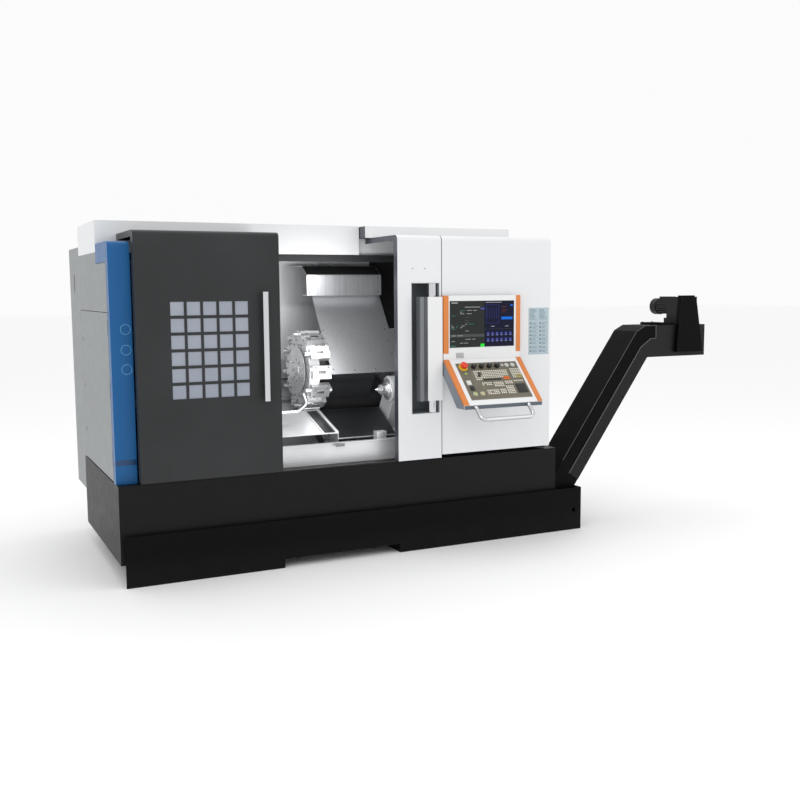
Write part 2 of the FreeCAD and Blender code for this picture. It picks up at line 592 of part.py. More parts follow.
def back_wall():
    """Rear wall of the work area above the bed."""
    node("back_wall", box(("nose_left - 1", "panel_right - sheet"), ("wall_y", "wall_y + sheet"),
                          ("wall_bottom", "roof_under - slide_gap")))


def chip_chute():
    """Sloped stainless chip sheet with side plates, and the upright front sill."""
    rise = "(chute_rear_z - chute_lip_z) / (chute_rear_y - chute_lip_y)"
    side_front, side_back = "chute_lip_y + 5", "chute_back + 105"
    back_top = f"chute_lip_z + ({side_back} - chute_lip_y) * {rise} - sheet / 2"
    sheet = prism("YZ", [("chute_lip_y", "chute_lip_z"), ("chute_rear_y", "chute_rear_z"),
                         ("chute_rear_y", "chute_rear_z - sheet"), ("chute_lip_y", "chute_lip_z - sheet")],
                  ("chute_sheet_left", "chute_sheet_right"))
    sides = []
    for edge in ("chute_sheet_left", "chute_sheet_right - sheet"):
        sides.append(prism("YZ", [("chute_back + 5", "base_top"), (side_back, "base_top"),
                                  (side_back, back_top),
                                  (side_front, f"chute_lip_z + 5 * {rise} - sheet / 2"),
                                  (side_front, "chute_lip_z - 40")], (edge, f"{edge} + sheet")))
    sill = box(("nose_left - 1", "panel_left + 200"), ("sill_y", "sill_y + sheet"),
               ("base_top", "sill_top"))
    lip = box(("nose_left - 1", "panel_left + 200"), ("sill_y - 25", "sill_y + sheet"),
              ("sill_top - sheet", "sill_top"))
    node("chip_chute", fuse(sheet, *sides), fuse(sill, lip))


def way_cover():
    """Dark cover over the lower ways between the turret and the tailstock."""
    top = box(("way_left", "way_right"), ("way_low_u", "way_high_u"), ("way_n", "way_n + sheet"))
    legs = [box((x, f"{x} + sheet"), ("bed_front_u + 5", "way_high_u"), ("bed_top_n", "way_n + 1"))
            for x in ("way_left", "way_right - sheet")]
    slanted("way_cover", fuse(top, *legs))


def bent_tube(points, radius, bend):
    """Round bar along straight runs joined by tangent arcs of one bend radius."""
    edges = []
    previous = points[0]
    for before, corner, after in zip(points, points[1:], points[2:]):
        back = (before - corner).normalize()
        ahead = (after - corner).normalize()
        half = back.getAngle(ahead) / 2
        first = corner + back * (bend / math.tan(half))
        last = corner + ahead * (bend / math.tan(half))
        middle = corner + (back + ahead).normalize() * (bend / math.sin(half) - bend)
        edges += [Part.makeLine(previous, first), Part.Arc(first, middle, last).toShape()]
        previous = last
    edges.append(Part.makeLine(previous, points[-1]))
    ring = Part.Wire([Part.makeCircle(radius, points[0], points[1] - points[0])])
    tube = DOC.addObject("Part::Feature", "bent_tube")
    tube.Shape = Part.Wire(edges).makePipeShell([ring], True, False)
    return tube


def coolant_pipe():
    """Bent coolant pipe from the headstock wall to the tools."""
    start = DIMS["nose_left"] - 1 + DIMS["slide_gap"]
    rise = DIMS["pipe_rise"]
    low = FreeCAD.Vector(start, DIMS["pipe_y"], DIMS["pipe_z"])
    turn = FreeCAD.Vector(DIMS["pipe_turn_x"], DIMS["pipe_y"], DIMS["pipe_z"])
    knee = turn + FreeCAD.Vector(rise * 1.3, 0, rise)
    tip = knee + FreeCAD.Vector(-rise / 2, 0, rise * 1.4)
    node("coolant_pipe", bent_tube([low, turn, knee, tip], DIMS["pipe_radius"], DIMS["pipe_bend"]))


# ---------------------------------------------------------------- covers

def hooded(x_lo, x_hi, z_lo):
    """Front cover with rounded top edge and a hood that runs back to the roof."""
    front = "guard_front"
    back = "guard_front + guard_depth"
    under = "guard_top - hood_thick"
    outer = prism("YZ", [(front, z_lo), (front, "guard_top"), ("hood_back", "guard_top"),
                         ("hood_back", under), (back, under), (back, z_lo)], (x_lo, x_hi),
                  rounds=((1, "edge_round"),))
    skin = prism("YZ", [(f"{front} + sheet", f"{z_lo} + sheet"), (f"{front} + sheet", "guard_top - sheet"),
                        ("hood_back - sheet", "guard_top - sheet"), ("hood_back - sheet", f"{under} - 1"),
                        (f"{back} + 1", f"{under} - 1"), (f"{back} + 1", f"{z_lo} + sheet")],
                 (f"{x_lo} + sheet", f"{x_hi} - sheet"), rounds=((1, "edge_round - sheet"),))
    return cut(outer, skin)


def door_panel():
    """Sliding door with six rows of five window squares cut in its front sheet."""
    squares = []
    for column in range(5):
        for row in range(6):
            x = f"window_left + {column} * window_pitch_x"
            z = f"window_bottom + {row} * window_pitch_z"
            squares.append(box((x, f"{x} + window_square_x"), ("guard_front - 5", "guard_front + sheet + 5"),
                               (z, f"{z} + window_square_z")))
    node("door_panel", cut(hooded("door_left", "door_right", "guard_bottom"), *squares))


def door_window():
    """Laminated pane behind the squares."""
    node("door_window", box(
        ("window_left - window_margin", "window_left + 4 * window_pitch_x + window_square_x + window_margin"),
        ("guard_front + sheet", "guard_front + sheet + window_thick"),
        ("window_bottom - window_margin",
         "window_bottom + 5 * window_pitch_z + window_square_z + window_margin")))


def door_handle():
    """Upright chrome pull with two posts."""
    front = "guard_front - handle_proud"
    bar = box(("handle_left", "handle_right"), (front, f"{front} + handle_bar"),
              ("handle_bottom", "handle_top"))
    posts = [box(("handle_left + 4", "handle_right - 4"), (f"{front} + handle_bar - 1", "guard_front"),
                 (z, f"{z} + handle_post"))
             for z in ("handle_bottom + handle_post", "handle_top - 2 * handle_post")]
    node("door_handle", fuse(bar, *posts))


def door_track():
    """Top beam under the roof edge and the bottom rail that the door runs on."""
    beam = box(("column_right + 3", "panel_right - sheet - 5"), ("roof_front", "roof_front + track_depth"),
               ("roof_under - slide_gap - track_height", "roof_under - slide_gap"))
    rail = box(("column_right + 8", "panel_left - 4"), ("guard_front + 20", "guard_front + 32"),
               ("base_top", "guard_bottom - slide_gap"))
    node("door_track", beam, rail)


def front_panels():
    """White front covers left and right of the seam; the left one is cut for the pendant recess."""
    left = cut(hooded("panel_left", "panel_seam", "guard_bottom - 2"),
               box(("recess_left", "recess_right"), ("guard_front - 5", "guard_front + guard_depth + 5"),
                   ("recess_bottom", "recess_top")))
    right = hooded("panel_seam + seam_gap", "panel_right", "service_bottom")
    node("front_panels", left, right)


def pendant_recess():
    """Black folded pocket that lets the pendant arm swing back."""
    outer = box(("recess_left", "recess_right"), ("guard_front", "guard_front + recess_depth"),
                ("recess_bottom", "recess_top"))
    inner = box(("recess_left + sheet", "recess_right - sheet"),
                ("guard_front - 5", "guard_front + recess_depth - sheet"),
                ("recess_bottom + sheet", "recess_top - sheet"))
    node("pendant_recess", cut(outer, inner))


def blue_column():
    """Folded column cover at the left front corner."""
    top = "column_top - column_return"
    outer = prism("YZ", [("column_front", "base_top"), ("column_front", "column_top"),
                         ("roof_front - 2", "column_top"), ("roof_front - 2", top),
                         ("column_side", top), ("column_side", "base_top")], ("0", "column_right"),
                  rounds=((1, "edge_round"),))
    inner = prism("YZ", [("column_front + sheet", "base_top - 1"),
                         ("column_front + sheet", "column_top - sheet"),
                         ("roof_front - 1", "column_top - sheet"), ("roof_front - 1", f"{top} - 1"),
                         ("column_side + 1", f"{top} - 1"), ("column_side + 1", "base_top - 1")],
                  ("sheet", "column_right + 1"), rounds=((1, "edge_round - sheet"),))
    node("blue_column", cut(outer, inner))


def left_end_cover():
    """Upper side sheet and door posts at the left end."""
    top = "roof_under - slide_gap"
    corner = "column_top - column_return - 2"
    sheet = prism("YZ", [("column_side + 3", "side_door_top + 3"), ("roof_back", "side_door_top + 3"),
                         ("roof_back", top), ("roof_front + 1", top), ("roof_front + 1", corner),
                         ("column_side + 3", corner)], ("0", "sheet"))
    post = ("side_door_thick + slide_gap", "side_door_thick + 32")
    front_post = box(post, ("column_side + 3", "column_side + 43"), ("base_top", corner))
    back_post = box(post, ("roof_back - 46", "roof_back - 6"), ("base_top", top))
    ledge = box(("sheet - 1", "side_door_thick + 32"), ("column_side + 3", "roof_back - 6"),
                ("side_door_top + 3", "side_door_top + 3 + sheet"))
    node("left_end_cover", fuse(sheet, front_post, back_post, ledge))


def left_service_door():
    """Folded service door over the drive side, hinged at its front edge."""
    shell = box(("0", "side_door_thick"), ("side_door_front", "side_door_back"),
                ("guard_bottom", "side_door_top"))
    inside = box(("sheet", "side_door_thick + 1"), ("side_door_front + sheet", "side_door_back - sheet"),
                 ("guard_bottom + sheet", "side_door_top - sheet"))
    node("left_service_door", cut(shell, inside))


def right_end_cover():
    """Folded side sheet at the right end."""
    outer = box(("panel_right - sheet", "panel_right"), ("guard_front + guard_depth + 2", "roof_back"),
                ("base_top", "roof_under + 60"))
    flange = box(("panel_right - 40", "panel_right"), ("roof_back - sheet", "roof_back"),
                 ("base_top", "roof_under + 60"))
    foot = box(("panel_right - 40", "panel_right"), ("guard_front + guard_depth + 2", "roof_back"),
               ("base_top", "base_top + sheet"))
    node("right_end_cover", fuse(outer, flange, foot))


def open_box(x, y, z):
    """Folded cover that is open below."""
    shell = box(x, y, z)
    inside = box((f"{x[0]} + sheet", f"{x[1]} - sheet"), (f"{y[0]} + sheet", f"{y[1]} - sheet"),
                 (f"{z[0]} - 1", f"{z[1]} - sheet"))
    return cut(shell, inside)


def roof_covers():
    """Left roof box over the drive side and work area, and the lower right roof box."""
    left = open_box(("0", "roof_split"), ("roof_front", "roof_back"), ("roof_under", "roof_top"))
    right = open_box(("roof_split + 3", "roof_right_end"), ("roof_right_front", "roof_back"),
                     ("guard_top", "roof_right_top"))
    right_end = "panel_right - sheet - slide_gap"
    fill = box(("roof_split + 3", right_end), ("roof_front + track_depth", "roof_back - sheet - slide_gap"),
               ("roof_under", "roof_under + sheet"))
    riser_front = "roof_front + track_depth"
    riser = box(("roof_split + 3", right_end), (riser_front, f"{riser_front} + sheet"),
                ("roof_under", "guard_top"))
    node("roof_covers", left, fuse(right, riser, fill))


def back_cover():
    """Folded rear cover beside the electrical cabinet."""
    left, top = "cabinet_right + slide_gap", "roof_under + 60"
    shell = box((left, "panel_right"), ("roof_back + slide_gap", "base_depth"), ("base_top", top))
    inside = box((f"{left} + sheet", "panel_right - sheet"), ("roof_back - 1", "base_depth - sheet"),
                 ("base_top + sheet", f"{top} - sheet"))
    node("back_cover", cut(shell, inside))


def electrical_cabinet():
    """Cabinet on the back of the machine, notched over the base and open behind its door."""
    door = "cabinet_back - cabinet_door - slide_gap"
    front, step_back, step = "roof_back + slide_gap", "base_depth + slide_gap", "base_top + slide_gap"
    outer = prism("YZ", [(front, step), (step_back, step), (step_back, "cabinet_bottom"),
                         (door, "cabinet_bottom"), (door, "cabinet_top"), (front, "cabinet_top")],
                  ("0", "cabinet_right"))
    inner = prism("YZ", [(f"{front} + sheet", f"{step} + sheet"), (f"{step_back} + sheet", f"{step} + sheet"),
                         (f"{step_back} + sheet", "cabinet_bottom + sheet"),
                         (f"{door} + 1", "cabinet_bottom + sheet"), (f"{door} + 1", "cabinet_top - sheet"),
                         (f"{front} + sheet", "cabinet_top - sheet")],
                  ("sheet", "cabinet_right - sheet"))
    node("electrical_cabinet", cut(outer, inner))


def cabinet_door():
    """Folded cabinet door, hinged at the machine's left edge."""
    inner_face = "cabinet_back - cabinet_door"
    shell = box(("0", "cabinet_right"), (inner_face, "cabinet_back"), ("cabinet_bottom", "cabinet_top"))
    inside = box(("sheet", "cabinet_right - sheet"), (f"{inner_face} - 1", "cabinet_back - sheet"),
                 ("cabinet_bottom + sheet", "cabinet_top - sheet"))
    node("cabinet_door", cut(shell, inside))


# ---------------------------------------------------------------- pendant

def pivot_tube():
    """Chrome tube that the pendant turns on, held top and bottom in the recess."""
    node("pivot_tube", rod("Z", ("pivot_x", "pivot_y"), "tube_radius",
                           ("recess_bottom + sheet", "recess_top - sheet")))


def pendant_arm():
    """White arm box with its round end, knuckle on the tube and the bracket behind the display."""
    span = ("arm_bottom", "arm_top")
    case = box(("barrel_x", "arm_right"), ("arm_front", "arm_back"), span)
    end = rod("Z", ("barrel_x", "barrel_y"), "barrel_radius", span)
    knuckle = rod("Z", ("pivot_x", "pivot_y"), "knuckle_radius", span)
    half = "knuckle_radius / 2"
    web = box((f"pivot_x - {half}", f"pivot_x + {half}"), ("arm_back - 1", "pivot_y"), span)
    plate = box(("arm_right - 1", "bracket_right"), ("display_back + slide_gap", "guard_front - floor_gap"),
                (f"{DISPLAY_BOTTOM} + 60", "display_top - 60"))
    tie = box(("arm_right - 10", "arm_right"), ("arm_back - 2", "guard_front - floor_gap"),
              (f"{DISPLAY_BOTTOM} + 60", "display_top - 60"))
    hole = rod("Z", ("pivot_x", "pivot_y"), "tube_radius + fit_running", ("arm_bottom - 5", "arm_top + 5"))
    node("pendant_arm", cut(fuse(case, end, knuckle, web, plate, tie), hole))


def display_housing():
    """Display case with a pocket for the screen."""
    case = prism("XZ", [("display_left", DISPLAY_BOTTOM), ("display_right", DISPLAY_BOTTOM),
                        ("display_right", "display_top"), ("display_left", "display_top")],
                 ("display_front", "display_back"), rounds=((2, "8"), (3, "8")))
    pocket = box(("screen_left", "screen_right"), ("display_front - 5", "display_front + screen_thick + 1"),
                 ("screen_bottom", "screen_top"))
    node("display_housing", cut(case, pocket))


def display_screen():
    """Flat glass in the display pocket."""
    node("display_screen", box(("screen_left + slide_gap", "screen_right - slide_gap"),
                               ("display_front + 1", "display_front + 1 + screen_thick"),
                               ("screen_bottom + slide_gap", "screen_top - slide_gap")))


def keyboard_housing():
    """Tilted key console with wells for its buttons and knobs."""
    low_y = "key_front - key_length * cos(key_tilt)"
    low_z = "key_top - key_length * sin(key_tilt)"
    case = prism("YZ", [("key_front", "key_top"), (low_y, low_z), (low_y, f"{low_z} - key_edge"),
                        ("key_front - 148", f"{low_z} - key_edge"), ("key_front + 4", "key_top - 86"),
                        ("display_back", "key_top - 86"), ("display_back", "key_top")],
                 ("display_left", "display_right"))
    wells = [rod("Z", ("stop_x", "stop_y"), "stop_stem + fit_running", ("-well_depth", "5"))]
    for count in range(4):
        wells.append(rod("Z", (f"knob_first + {count} * knob_pitch", "knob_y"), "knob_stem + fit_running",
                         ("-well_depth", "5")))
    for count in range(2):
        wells.append(rod("Z", (f"button_x + {count} * button_pitch", "button_y"),
                         "button_stem + fit_running", ("-well_depth", "5")))
    bank = DOC.addObject("Part::Compound", "wells")
    bank.Links = wells
    bank.Placement = FreeCAD.Placement(FreeCAD.Vector(), FreeCAD.Rotation(FreeCAD.Vector(1, 0, 0), 1))
    bank.setExpression("Placement.Rotation.Angle", cells("key_tilt"))
    bind(bank, x="display_left", y="key_front", z="key_top")
    node("keyboard_housing", cut(case, bank))


def pendant_handle():
    """Bent bar handle that reaches down and forward from the console's lower edge."""
    lean = math.radians(DIMS["key_tilt"])
    down = FreeCAD.Vector(0, -math.cos(lean), -math.sin(lean))
    corner = FreeCAD.Vector(DIMS["display_left"], DIMS["key_front"], DIMS["key_top"] - DIMS["key_edge"] / 2)
    edge = corner + down * DIMS["key_length"] + FreeCAD.Vector(0, -DIMS["slide_gap"], 0)
    left = edge + FreeCAD.Vector(DIMS["grip_left"], 0, 0)
    right = edge + FreeCAD.Vector(DIMS["grip_right"], 0, 0)
    reach = down * DIMS["grip_reach"]
    step = FreeCAD.Vector(0, -DIMS["grip_radius"], 0)
    points = [left, left + step, left + step + reach, right + step + reach, right + step, right]
    node("pendant_handle", bent_tube(points, DIMS["grip_radius"], DIMS["grip_bend"]))


def controls():
    """Emergency stop, four override knobs, and the start and hold buttons."""
    stem = rod("Z", ("stop_x", "stop_y"), "stop_stem", ("-well_depth + 7", "stop_high / 2"))
    head = rod("Z", ("stop_x", "stop_y"), "stop_radius", ("stop_high / 2", "stop_high"))
    on_keys("estop_button", fuse(stem, head))
    for count in range(4):
        place = (f"knob_first + {count} * knob_pitch", "knob_y")
        stem = rod("Z", place, "knob_stem", ("-well_depth + 1", "3"))
        on_keys(f"override_knob_{count + 1}", fuse(stem, rod("Z", place, "knob_radius", ("1", "knob_high"))))
    for count, name in enumerate(("start_button", "hold_button")):
        place = (f"button_x + {count} * button_pitch", "button_y")
        stem = rod("Z", place, "button_stem", ("-well_depth + 4", "button_high"))
        on_keys(name, fuse(stem, rod("Z", place, "button_radius", ("button_high / 2", "button_high"))))


# ---------------------------------------------------------------- chip conveyor

def conveyor_path(skin):
    """Side outline of the conveyor case, drawn in by the thickness of its skin."""
    tan = "tan(conveyor_angle)"
    lower = f"conveyor_foot - {skin} / sin(conveyor_angle)"
    foot = f"{lower} + {skin} / {tan}"
    over = f"conveyor_foot - (conveyor_deep - {skin}) / sin(conveyor_angle)"
    floor = f"{CONVEYOR_FLOOR} + {skin}"
    run = f"{CONVEYOR_FLOOR} + conveyor_run - {skin}"
    under = f"conveyor_under + {skin}"
    top = f"conveyor_over - {skin}"
    bend = f"conveyor_over - bend_drop - {skin}"
    return [(f"conveyor_left - {skin}", floor), (foot, floor),
            (f"{lower} + ({under} - {CONVEYOR_FLOOR}) / {tan}", under),
            (f"conveyor_end - {skin}", under), (f"conveyor_end - {skin}", top),
            (f"{over} + ({bend} - {CONVEYOR_FLOOR}) / {tan} + bend_run", top),
            (f"{over} + ({bend} - {CONVEYOR_FLOOR}) / {tan}", bend),
            (f"{over} + ({run} - {CONVEYOR_FLOOR}) / {tan}", run), (f"conveyor_left - {skin}", run)]


def conveyor_casing():
    """Chip elevator case of flat sheets between two side plates, with a mouth under its head, and its lid."""
    back = "conveyor_front + conveyor_width"
    inside = ("conveyor_front + conveyor_skin", f"{back} - conveyor_skin")
    outer, inner = conveyor_path("0"), conveyor_path("conveyor_skin")
    inner[0], inner[-1] = ("conveyor_left", inner[0][1]), ("conveyor_left", inner[-1][1])
    floor, slope, under, end, top, bend, slope_lid, run_top = (
        prism("XZ", [outer[count], outer[count + 1], inner[count + 1], inner[count]], inside)
        for count in range(len(outer) - 1))
    mouth = box(("mouth_left", "mouth_right"), inside,
                ("conveyor_under - 5", "conveyor_under + 2 * conveyor_skin"))
    pick = box(("chute_left", "chute_right"),
               ("conveyor_front + 2 * conveyor_skin", f"{back} - 2 * conveyor_skin"),
               (f"{CONVEYOR_FLOOR} + conveyor_run - 2 * conveyor_skin",
                f"{CONVEYOR_FLOOR} + conveyor_run + conveyor_skin"))
    plates = [cut(prism("XZ", outer, span), rod("Y", ("shaft_x", "shaft_z"), "shaft_radius + fit_running",
                                                ("conveyor_front - 5", f"{back} + 5")))
              for span in (("conveyor_front", inside[0]), (inside[1], back))]
    lid = box(("lid_left", "lid_right"), ("conveyor_front", f"{back} - 10"),
              ("conveyor_over", "conveyor_over + lid_thick"))
    node("conveyor_casing", *plates, floor, slope, cut(under, mouth), end, top, bend, slope_lid,
         cut(run_top, pick), lid)


def conveyor_shaft():
    """Head shaft with two belt sprockets and the outboard chain sprocket."""
    back = "conveyor_front + conveyor_width"
    shaft = rod("Y", ("shaft_x", "shaft_z"), "shaft_radius", ("conveyor_front - 16", f"{back} + 6"))
    wheels = [rod("Y", ("shaft_x", "shaft_z"), "sprocket_radius", (y, f"{y} + sprocket_thick"))
              for y in ("conveyor_front + 20", f"{back} - 20 - sprocket_thick")]
    outer = rod("Y", ("shaft_x", "shaft_z"), "sprocket_radius * 0.6",
                ("conveyor_front - 16", "conveyor_front - 8"))
    node("conveyor_shaft", fuse(shaft, outer, *wheels))


def chain_guard():
    """Tapered sheet cover over the drive chain on the front of the head."""
    def form(skin, span):
        left, right = f"chain_guard_left + {skin}", f"chain_guard_right - {skin}"
        top = f"chain_guard_top - {skin}"
        return prism("XZ", [(left, f"chain_guard_foot + {skin}"), (right, f"chain_guard_foot + {skin}"),
                            (f"{right} - 30", "conveyor_over + 5"), (f"{right} - 56", f"{top} - 32"),
                            (f"{right} - 76", top), (f"{left} + 25", top)], span)
    front = "conveyor_front - chain_guard_thick"
    outer = form("0", (front, "conveyor_front"))
    inner = form("sheet", (f"{front} + sheet", "conveyor_front + 1"))
    node("chain_guard", cut(outer, inner))


def conveyor_motor():
    """Geared motor across the head: foot, gearbox, motor can and fan cowl."""
    foot = box(("gear_left - 20", "gear_right"), ("conveyor_front + 20", "gear_back"),
               ("conveyor_over", "conveyor_over + gear_base"))
    gear = box(("gear_left", "gear_right"), ("conveyor_front + 4", "gear_back"),
               ("conveyor_over + gear_base - 1", "gear_top"))
    middle = "(gear_left + gear_right) / 2"
    can = rod("Y", (middle, "gearmotor_z"), "gearmotor_radius", ("gear_back - 1", "gearmotor_end - 50"))
    cowl = rod("Y", (middle, "gearmotor_z"), "cowl_radius", ("gearmotor_end - 51", "gearmotor_end"))
    terminal = box((f"{middle} - 34", f"{middle} + 34"), ("gear_back + 25", "gear_back + 95"),
                   ("gearmotor_z + 30", "gearmotor_z + 60"))
    node("conveyor_motor", fuse(foot, gear, can, cowl, terminal))


def check_and_write():
    """Stop on any failed object, then write one STEP file for each piece."""
    DOC.recompute()
    for thing in DOC.Objects:
        if "Invalid" in thing.State or "Error" in thing.State:
            raise RuntimeError(f"{thing.Name} ({thing.Label}) failed: {thing.State}")
    os.makedirs("parts", exist_ok=True)
    for piece in NODES:
        shape = piece.Shape
        if shape.isNull() or not shape.isValid() or not shape.Solids:
            raise RuntimeError(f"{piece.Label} has no valid solid")
        print(piece.Label, len(shape.Solids), round(shape.Volume / 1e6, 3))
        shape.exportStep(f"parts/{piece.Label}.step")


fill_sheet()
for make in (levelling_feet, machine_base, coolant_tank, bed_casting, guide_rails, headstock, spindle,
             chuck_body, chuck_jaws, spindle_motor, motor_pulley, drive_belt, z_ballscrew, saddle,
             cross_slide, turret_housing, turret_disc, tool_holders, saddle_cover, tailstock_body,
             tailstock_quill, live_centre, headstock_guard, back_wall, chip_chute, way_cover,
             coolant_pipe, door_panel, door_window, door_handle, door_track, front_panels,
             pendant_recess, blue_column, left_end_cover, left_service_door, right_end_cover,
             roof_covers, back_cover, electrical_cabinet, cabinet_door, pivot_tube, pendant_arm,
             display_housing, display_screen, keyboard_housing, pendant_handle, controls,
             conveyor_casing, conveyor_shaft, chain_guard, conveyor_motor):
    make()
check_and_write()
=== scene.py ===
import math
import random

import bmesh
import bpy
from mathutils import Matrix, Vector


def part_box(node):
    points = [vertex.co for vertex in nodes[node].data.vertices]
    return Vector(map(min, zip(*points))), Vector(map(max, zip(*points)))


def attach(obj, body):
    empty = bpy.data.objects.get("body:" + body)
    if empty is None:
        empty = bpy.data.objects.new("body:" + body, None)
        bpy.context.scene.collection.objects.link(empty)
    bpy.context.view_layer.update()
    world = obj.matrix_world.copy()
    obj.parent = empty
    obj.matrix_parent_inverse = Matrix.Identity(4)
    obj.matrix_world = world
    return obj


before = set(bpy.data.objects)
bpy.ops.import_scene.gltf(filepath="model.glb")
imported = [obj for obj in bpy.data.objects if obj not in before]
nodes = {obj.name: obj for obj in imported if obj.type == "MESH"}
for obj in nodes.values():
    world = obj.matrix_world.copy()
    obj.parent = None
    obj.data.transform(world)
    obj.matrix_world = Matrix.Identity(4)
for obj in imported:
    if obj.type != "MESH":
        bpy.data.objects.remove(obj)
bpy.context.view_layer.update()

# ---------------------------------------------------------------- base and tank
# The base is a welded box of 12 mm plate and the coolant tank is folded 3 mm sheet. Both are blasted
# and powder coated in a coarse near-black texture, which dulls and gathers dust close to the floor.


dust_brown = (0.16, 0.15, 0.14)


def maker(tree):
    """A function that adds a node to a tree, and sets or links what its keywords name."""
    def make(kind, **settings):
        made = tree.nodes.new(kind)
        for key, value in settings.items():
            if hasattr(made, key):
                setattr(made, key, value)
            elif isinstance(value, bpy.types.NodeSocket):
                tree.links.new(value, made.inputs[key.replace("_", " ")])
            else:
                made.inputs[key.replace("_", " ")].default_value = value
        return made
    return make


def shader_tree(name):
    """New material with an empty Principled shader; returns the material, a node maker and a linker."""
    material = bpy.data.materials.new(name)
    material.use_nodes = True
    tree = material.node_tree
    return material, tree.nodes["Principled BSDF"], maker(tree), tree.links.new


def sprayed_coat(name, colour, rough, peel=0.00012, peel_scale=700, cloud=0.06, coat=0.0,
                 dust=0.0, dust_top=0.35, metal=0.0, shine=0.5):
    """Sprayed coating: orange peel, faint clouds in colour and gloss, dust that settles low down."""
    material, shader, make, link = shader_tree(name)
    place = make("ShaderNodeTexCoord").outputs["Object"]
    cloudy = make("ShaderNodeTexNoise", Vector=place, Scale=2.3, Detail=5.0, Roughness=0.55)
    peel_noise = make("ShaderNodeTexNoise", Vector=place, Scale=peel_scale, Detail=2.0)
    smear = make("ShaderNodeTexNoise", Vector=place, Scale=17.0, Detail=6.0, Roughness=0.7)
    shade = make("ShaderNodeMapRange", Value=cloudy.outputs["Fac"], From_Min=0.3, From_Max=0.7,
                 To_Min=1 - cloud, To_Max=1 + cloud)
    tone = make("ShaderNodeVectorMath", operation="SCALE", Scale=shade.outputs["Result"])
    tone.inputs[0].default_value = colour
    surface = tone.outputs["Vector"]
    if dust:
        height = make("ShaderNodeSeparateXYZ", Vector=place)
        fall = make("ShaderNodeMapRange", Value=height.outputs["Z"], From_Min=0.0, From_Max=dust_top,
                    To_Min=dust, To_Max=0.0)
        patch = make("ShaderNodeMath", operation="MULTIPLY")
        link(fall.outputs["Result"], patch.inputs[0])
        link(smear.outputs["Fac"], patch.inputs[1])
        dusty = make("ShaderNodeMix", data_type="RGBA")
        link(patch.outputs["Value"], dusty.inputs["Factor"])
        link(surface, dusty.inputs["A"])
        dusty.inputs["B"].default_value = (*dust_brown, 1)
        surface = dusty.outputs["Result"]
    link(surface, shader.inputs["Base Color"])
    gloss = make("ShaderNodeMapRange", Value=smear.outputs["Fac"], From_Min=0.25, From_Max=0.75,
                 To_Min=rough - 0.05, To_Max=rough + 0.07)
    link(gloss.outputs["Result"], shader.inputs["Roughness"])
    shader.inputs["Specular IOR Level"].default_value = shine
    bump = make("ShaderNodeBump", Height=peel_noise.outputs["Fac"], Strength=0.6, Distance=peel)
    link(bump.outputs["Normal"], shader.inputs["Normal"])
    shader.inputs["Metallic"].default_value = metal
    shader.inputs["Coat Weight"].default_value = coat
    shader.inputs["Coat Roughness"].default_value = 0.12
    return material


def dress(finish, *names):
    """Give CAD pieces their finish."""
    for name in names:
        slots = nodes[name].data.materials
        slots.clear()
        slots.append(finish)


base_coat = sprayed_coat("base_black", (0.0050, 0.0052, 0.0056), 0.44, peel=0.0004, peel_scale=420,
                         dust=0.10, dust_top=0.20, shine=0.16)
tank_coat = sprayed_coat("tank_black", (0.0022, 0.0023, 0.0025), 0.46, peel=0.0004, peel_scale=420,
                         dust=0.06, dust_top=0.15, shine=0.08)
dress(base_coat, "machine_base")
dress(tank_coat, "coolant_tank")


def finished(name, mesh_maker, finish, body, angle=35):
    """Turn a bmesh into a named piece that rides on a body, with smooth faces and sharp corners."""
    mesh = bpy.data.meshes.new(name)
    mesh_maker.to_mesh(mesh)
    mesh_maker.free()
    mesh.shade_smooth()
    mesh.set_sharp_from_angle(angle=math.radians(angle))
    for material in finish if isinstance(finish, (list, tuple)) else [finish]:
        mesh.materials.append(material)
    piece = bpy.data.objects.new(name, mesh)
    bpy.context.scene.collection.objects.link(piece)
    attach(piece, body)
    return piece


def add_block(shape, low, high, edge=0.0005, place=Matrix(), index=0, segments=2):
    """Add a block with rounded edges between two corners."""
    size = [b - a for a, b in zip(low, high)]
    middle = [(a + b) / 2 for a, b in zip(low, high)]
    spot = Matrix.Translation(middle) @ Matrix.Diagonal((*size, 1))
    made = bmesh.ops.create_cube(shape, size=1, matrix=spot)
    verts = set(made["verts"])
    if edge:
        edges = list({e for v in verts for e in v.link_edges})
        result = bmesh.ops.bevel(shape, geom=edges, offset=min(edge, min(size) * 0.45), segments=segments,
                                 affect="EDGES", profile=0.5)
        verts = {v for v in verts if v.is_valid} | set(result["verts"])
    for face in {f for v in verts for f in v.link_faces}:
        face.material_index = index
    bmesh.ops.transform(shape, matrix=place, verts=list(verts))


def add_turned(shape, profile, origin, axis, steps=32, index=0):
    """Add a turned form; the profile lists (distance along the axis, radius) and ends closed."""
    turn = Vector((0, 0, 1)).rotation_difference(Vector(axis)).to_matrix()
    rings = []
    for along, radius in profile:
        if radius <= 0:
            rings.append([shape.verts.new(Vector(origin) + turn @ Vector((0, 0, along)))])
            continue
        rings.append([shape.verts.new(Vector(origin) + turn @ Vector((
            radius * math.cos(2 * math.pi * k / steps), radius * math.sin(2 * math.pi * k / steps), along)))
            for k in range(steps)])
    made = []
    for lower, upper in zip(rings, rings[1:]):
        for k in range(steps):
            corners = [lower[k % len(lower)], lower[(k + 1) % len(lower)],
                       upper[(k + 1) % len(upper)], upper[k % len(upper)]]
            corners = list(dict.fromkeys(corners))
            if len(corners) > 2:
                made.append(shape.faces.new(corners))
    for end, ring in ((0, rings[0]), (1, rings[-1])):
        if len(ring) > 2:
            made.append(shape.faces.new(ring if end else ring[::-1]))
    for face in made:
        face.material_index = index
    return made


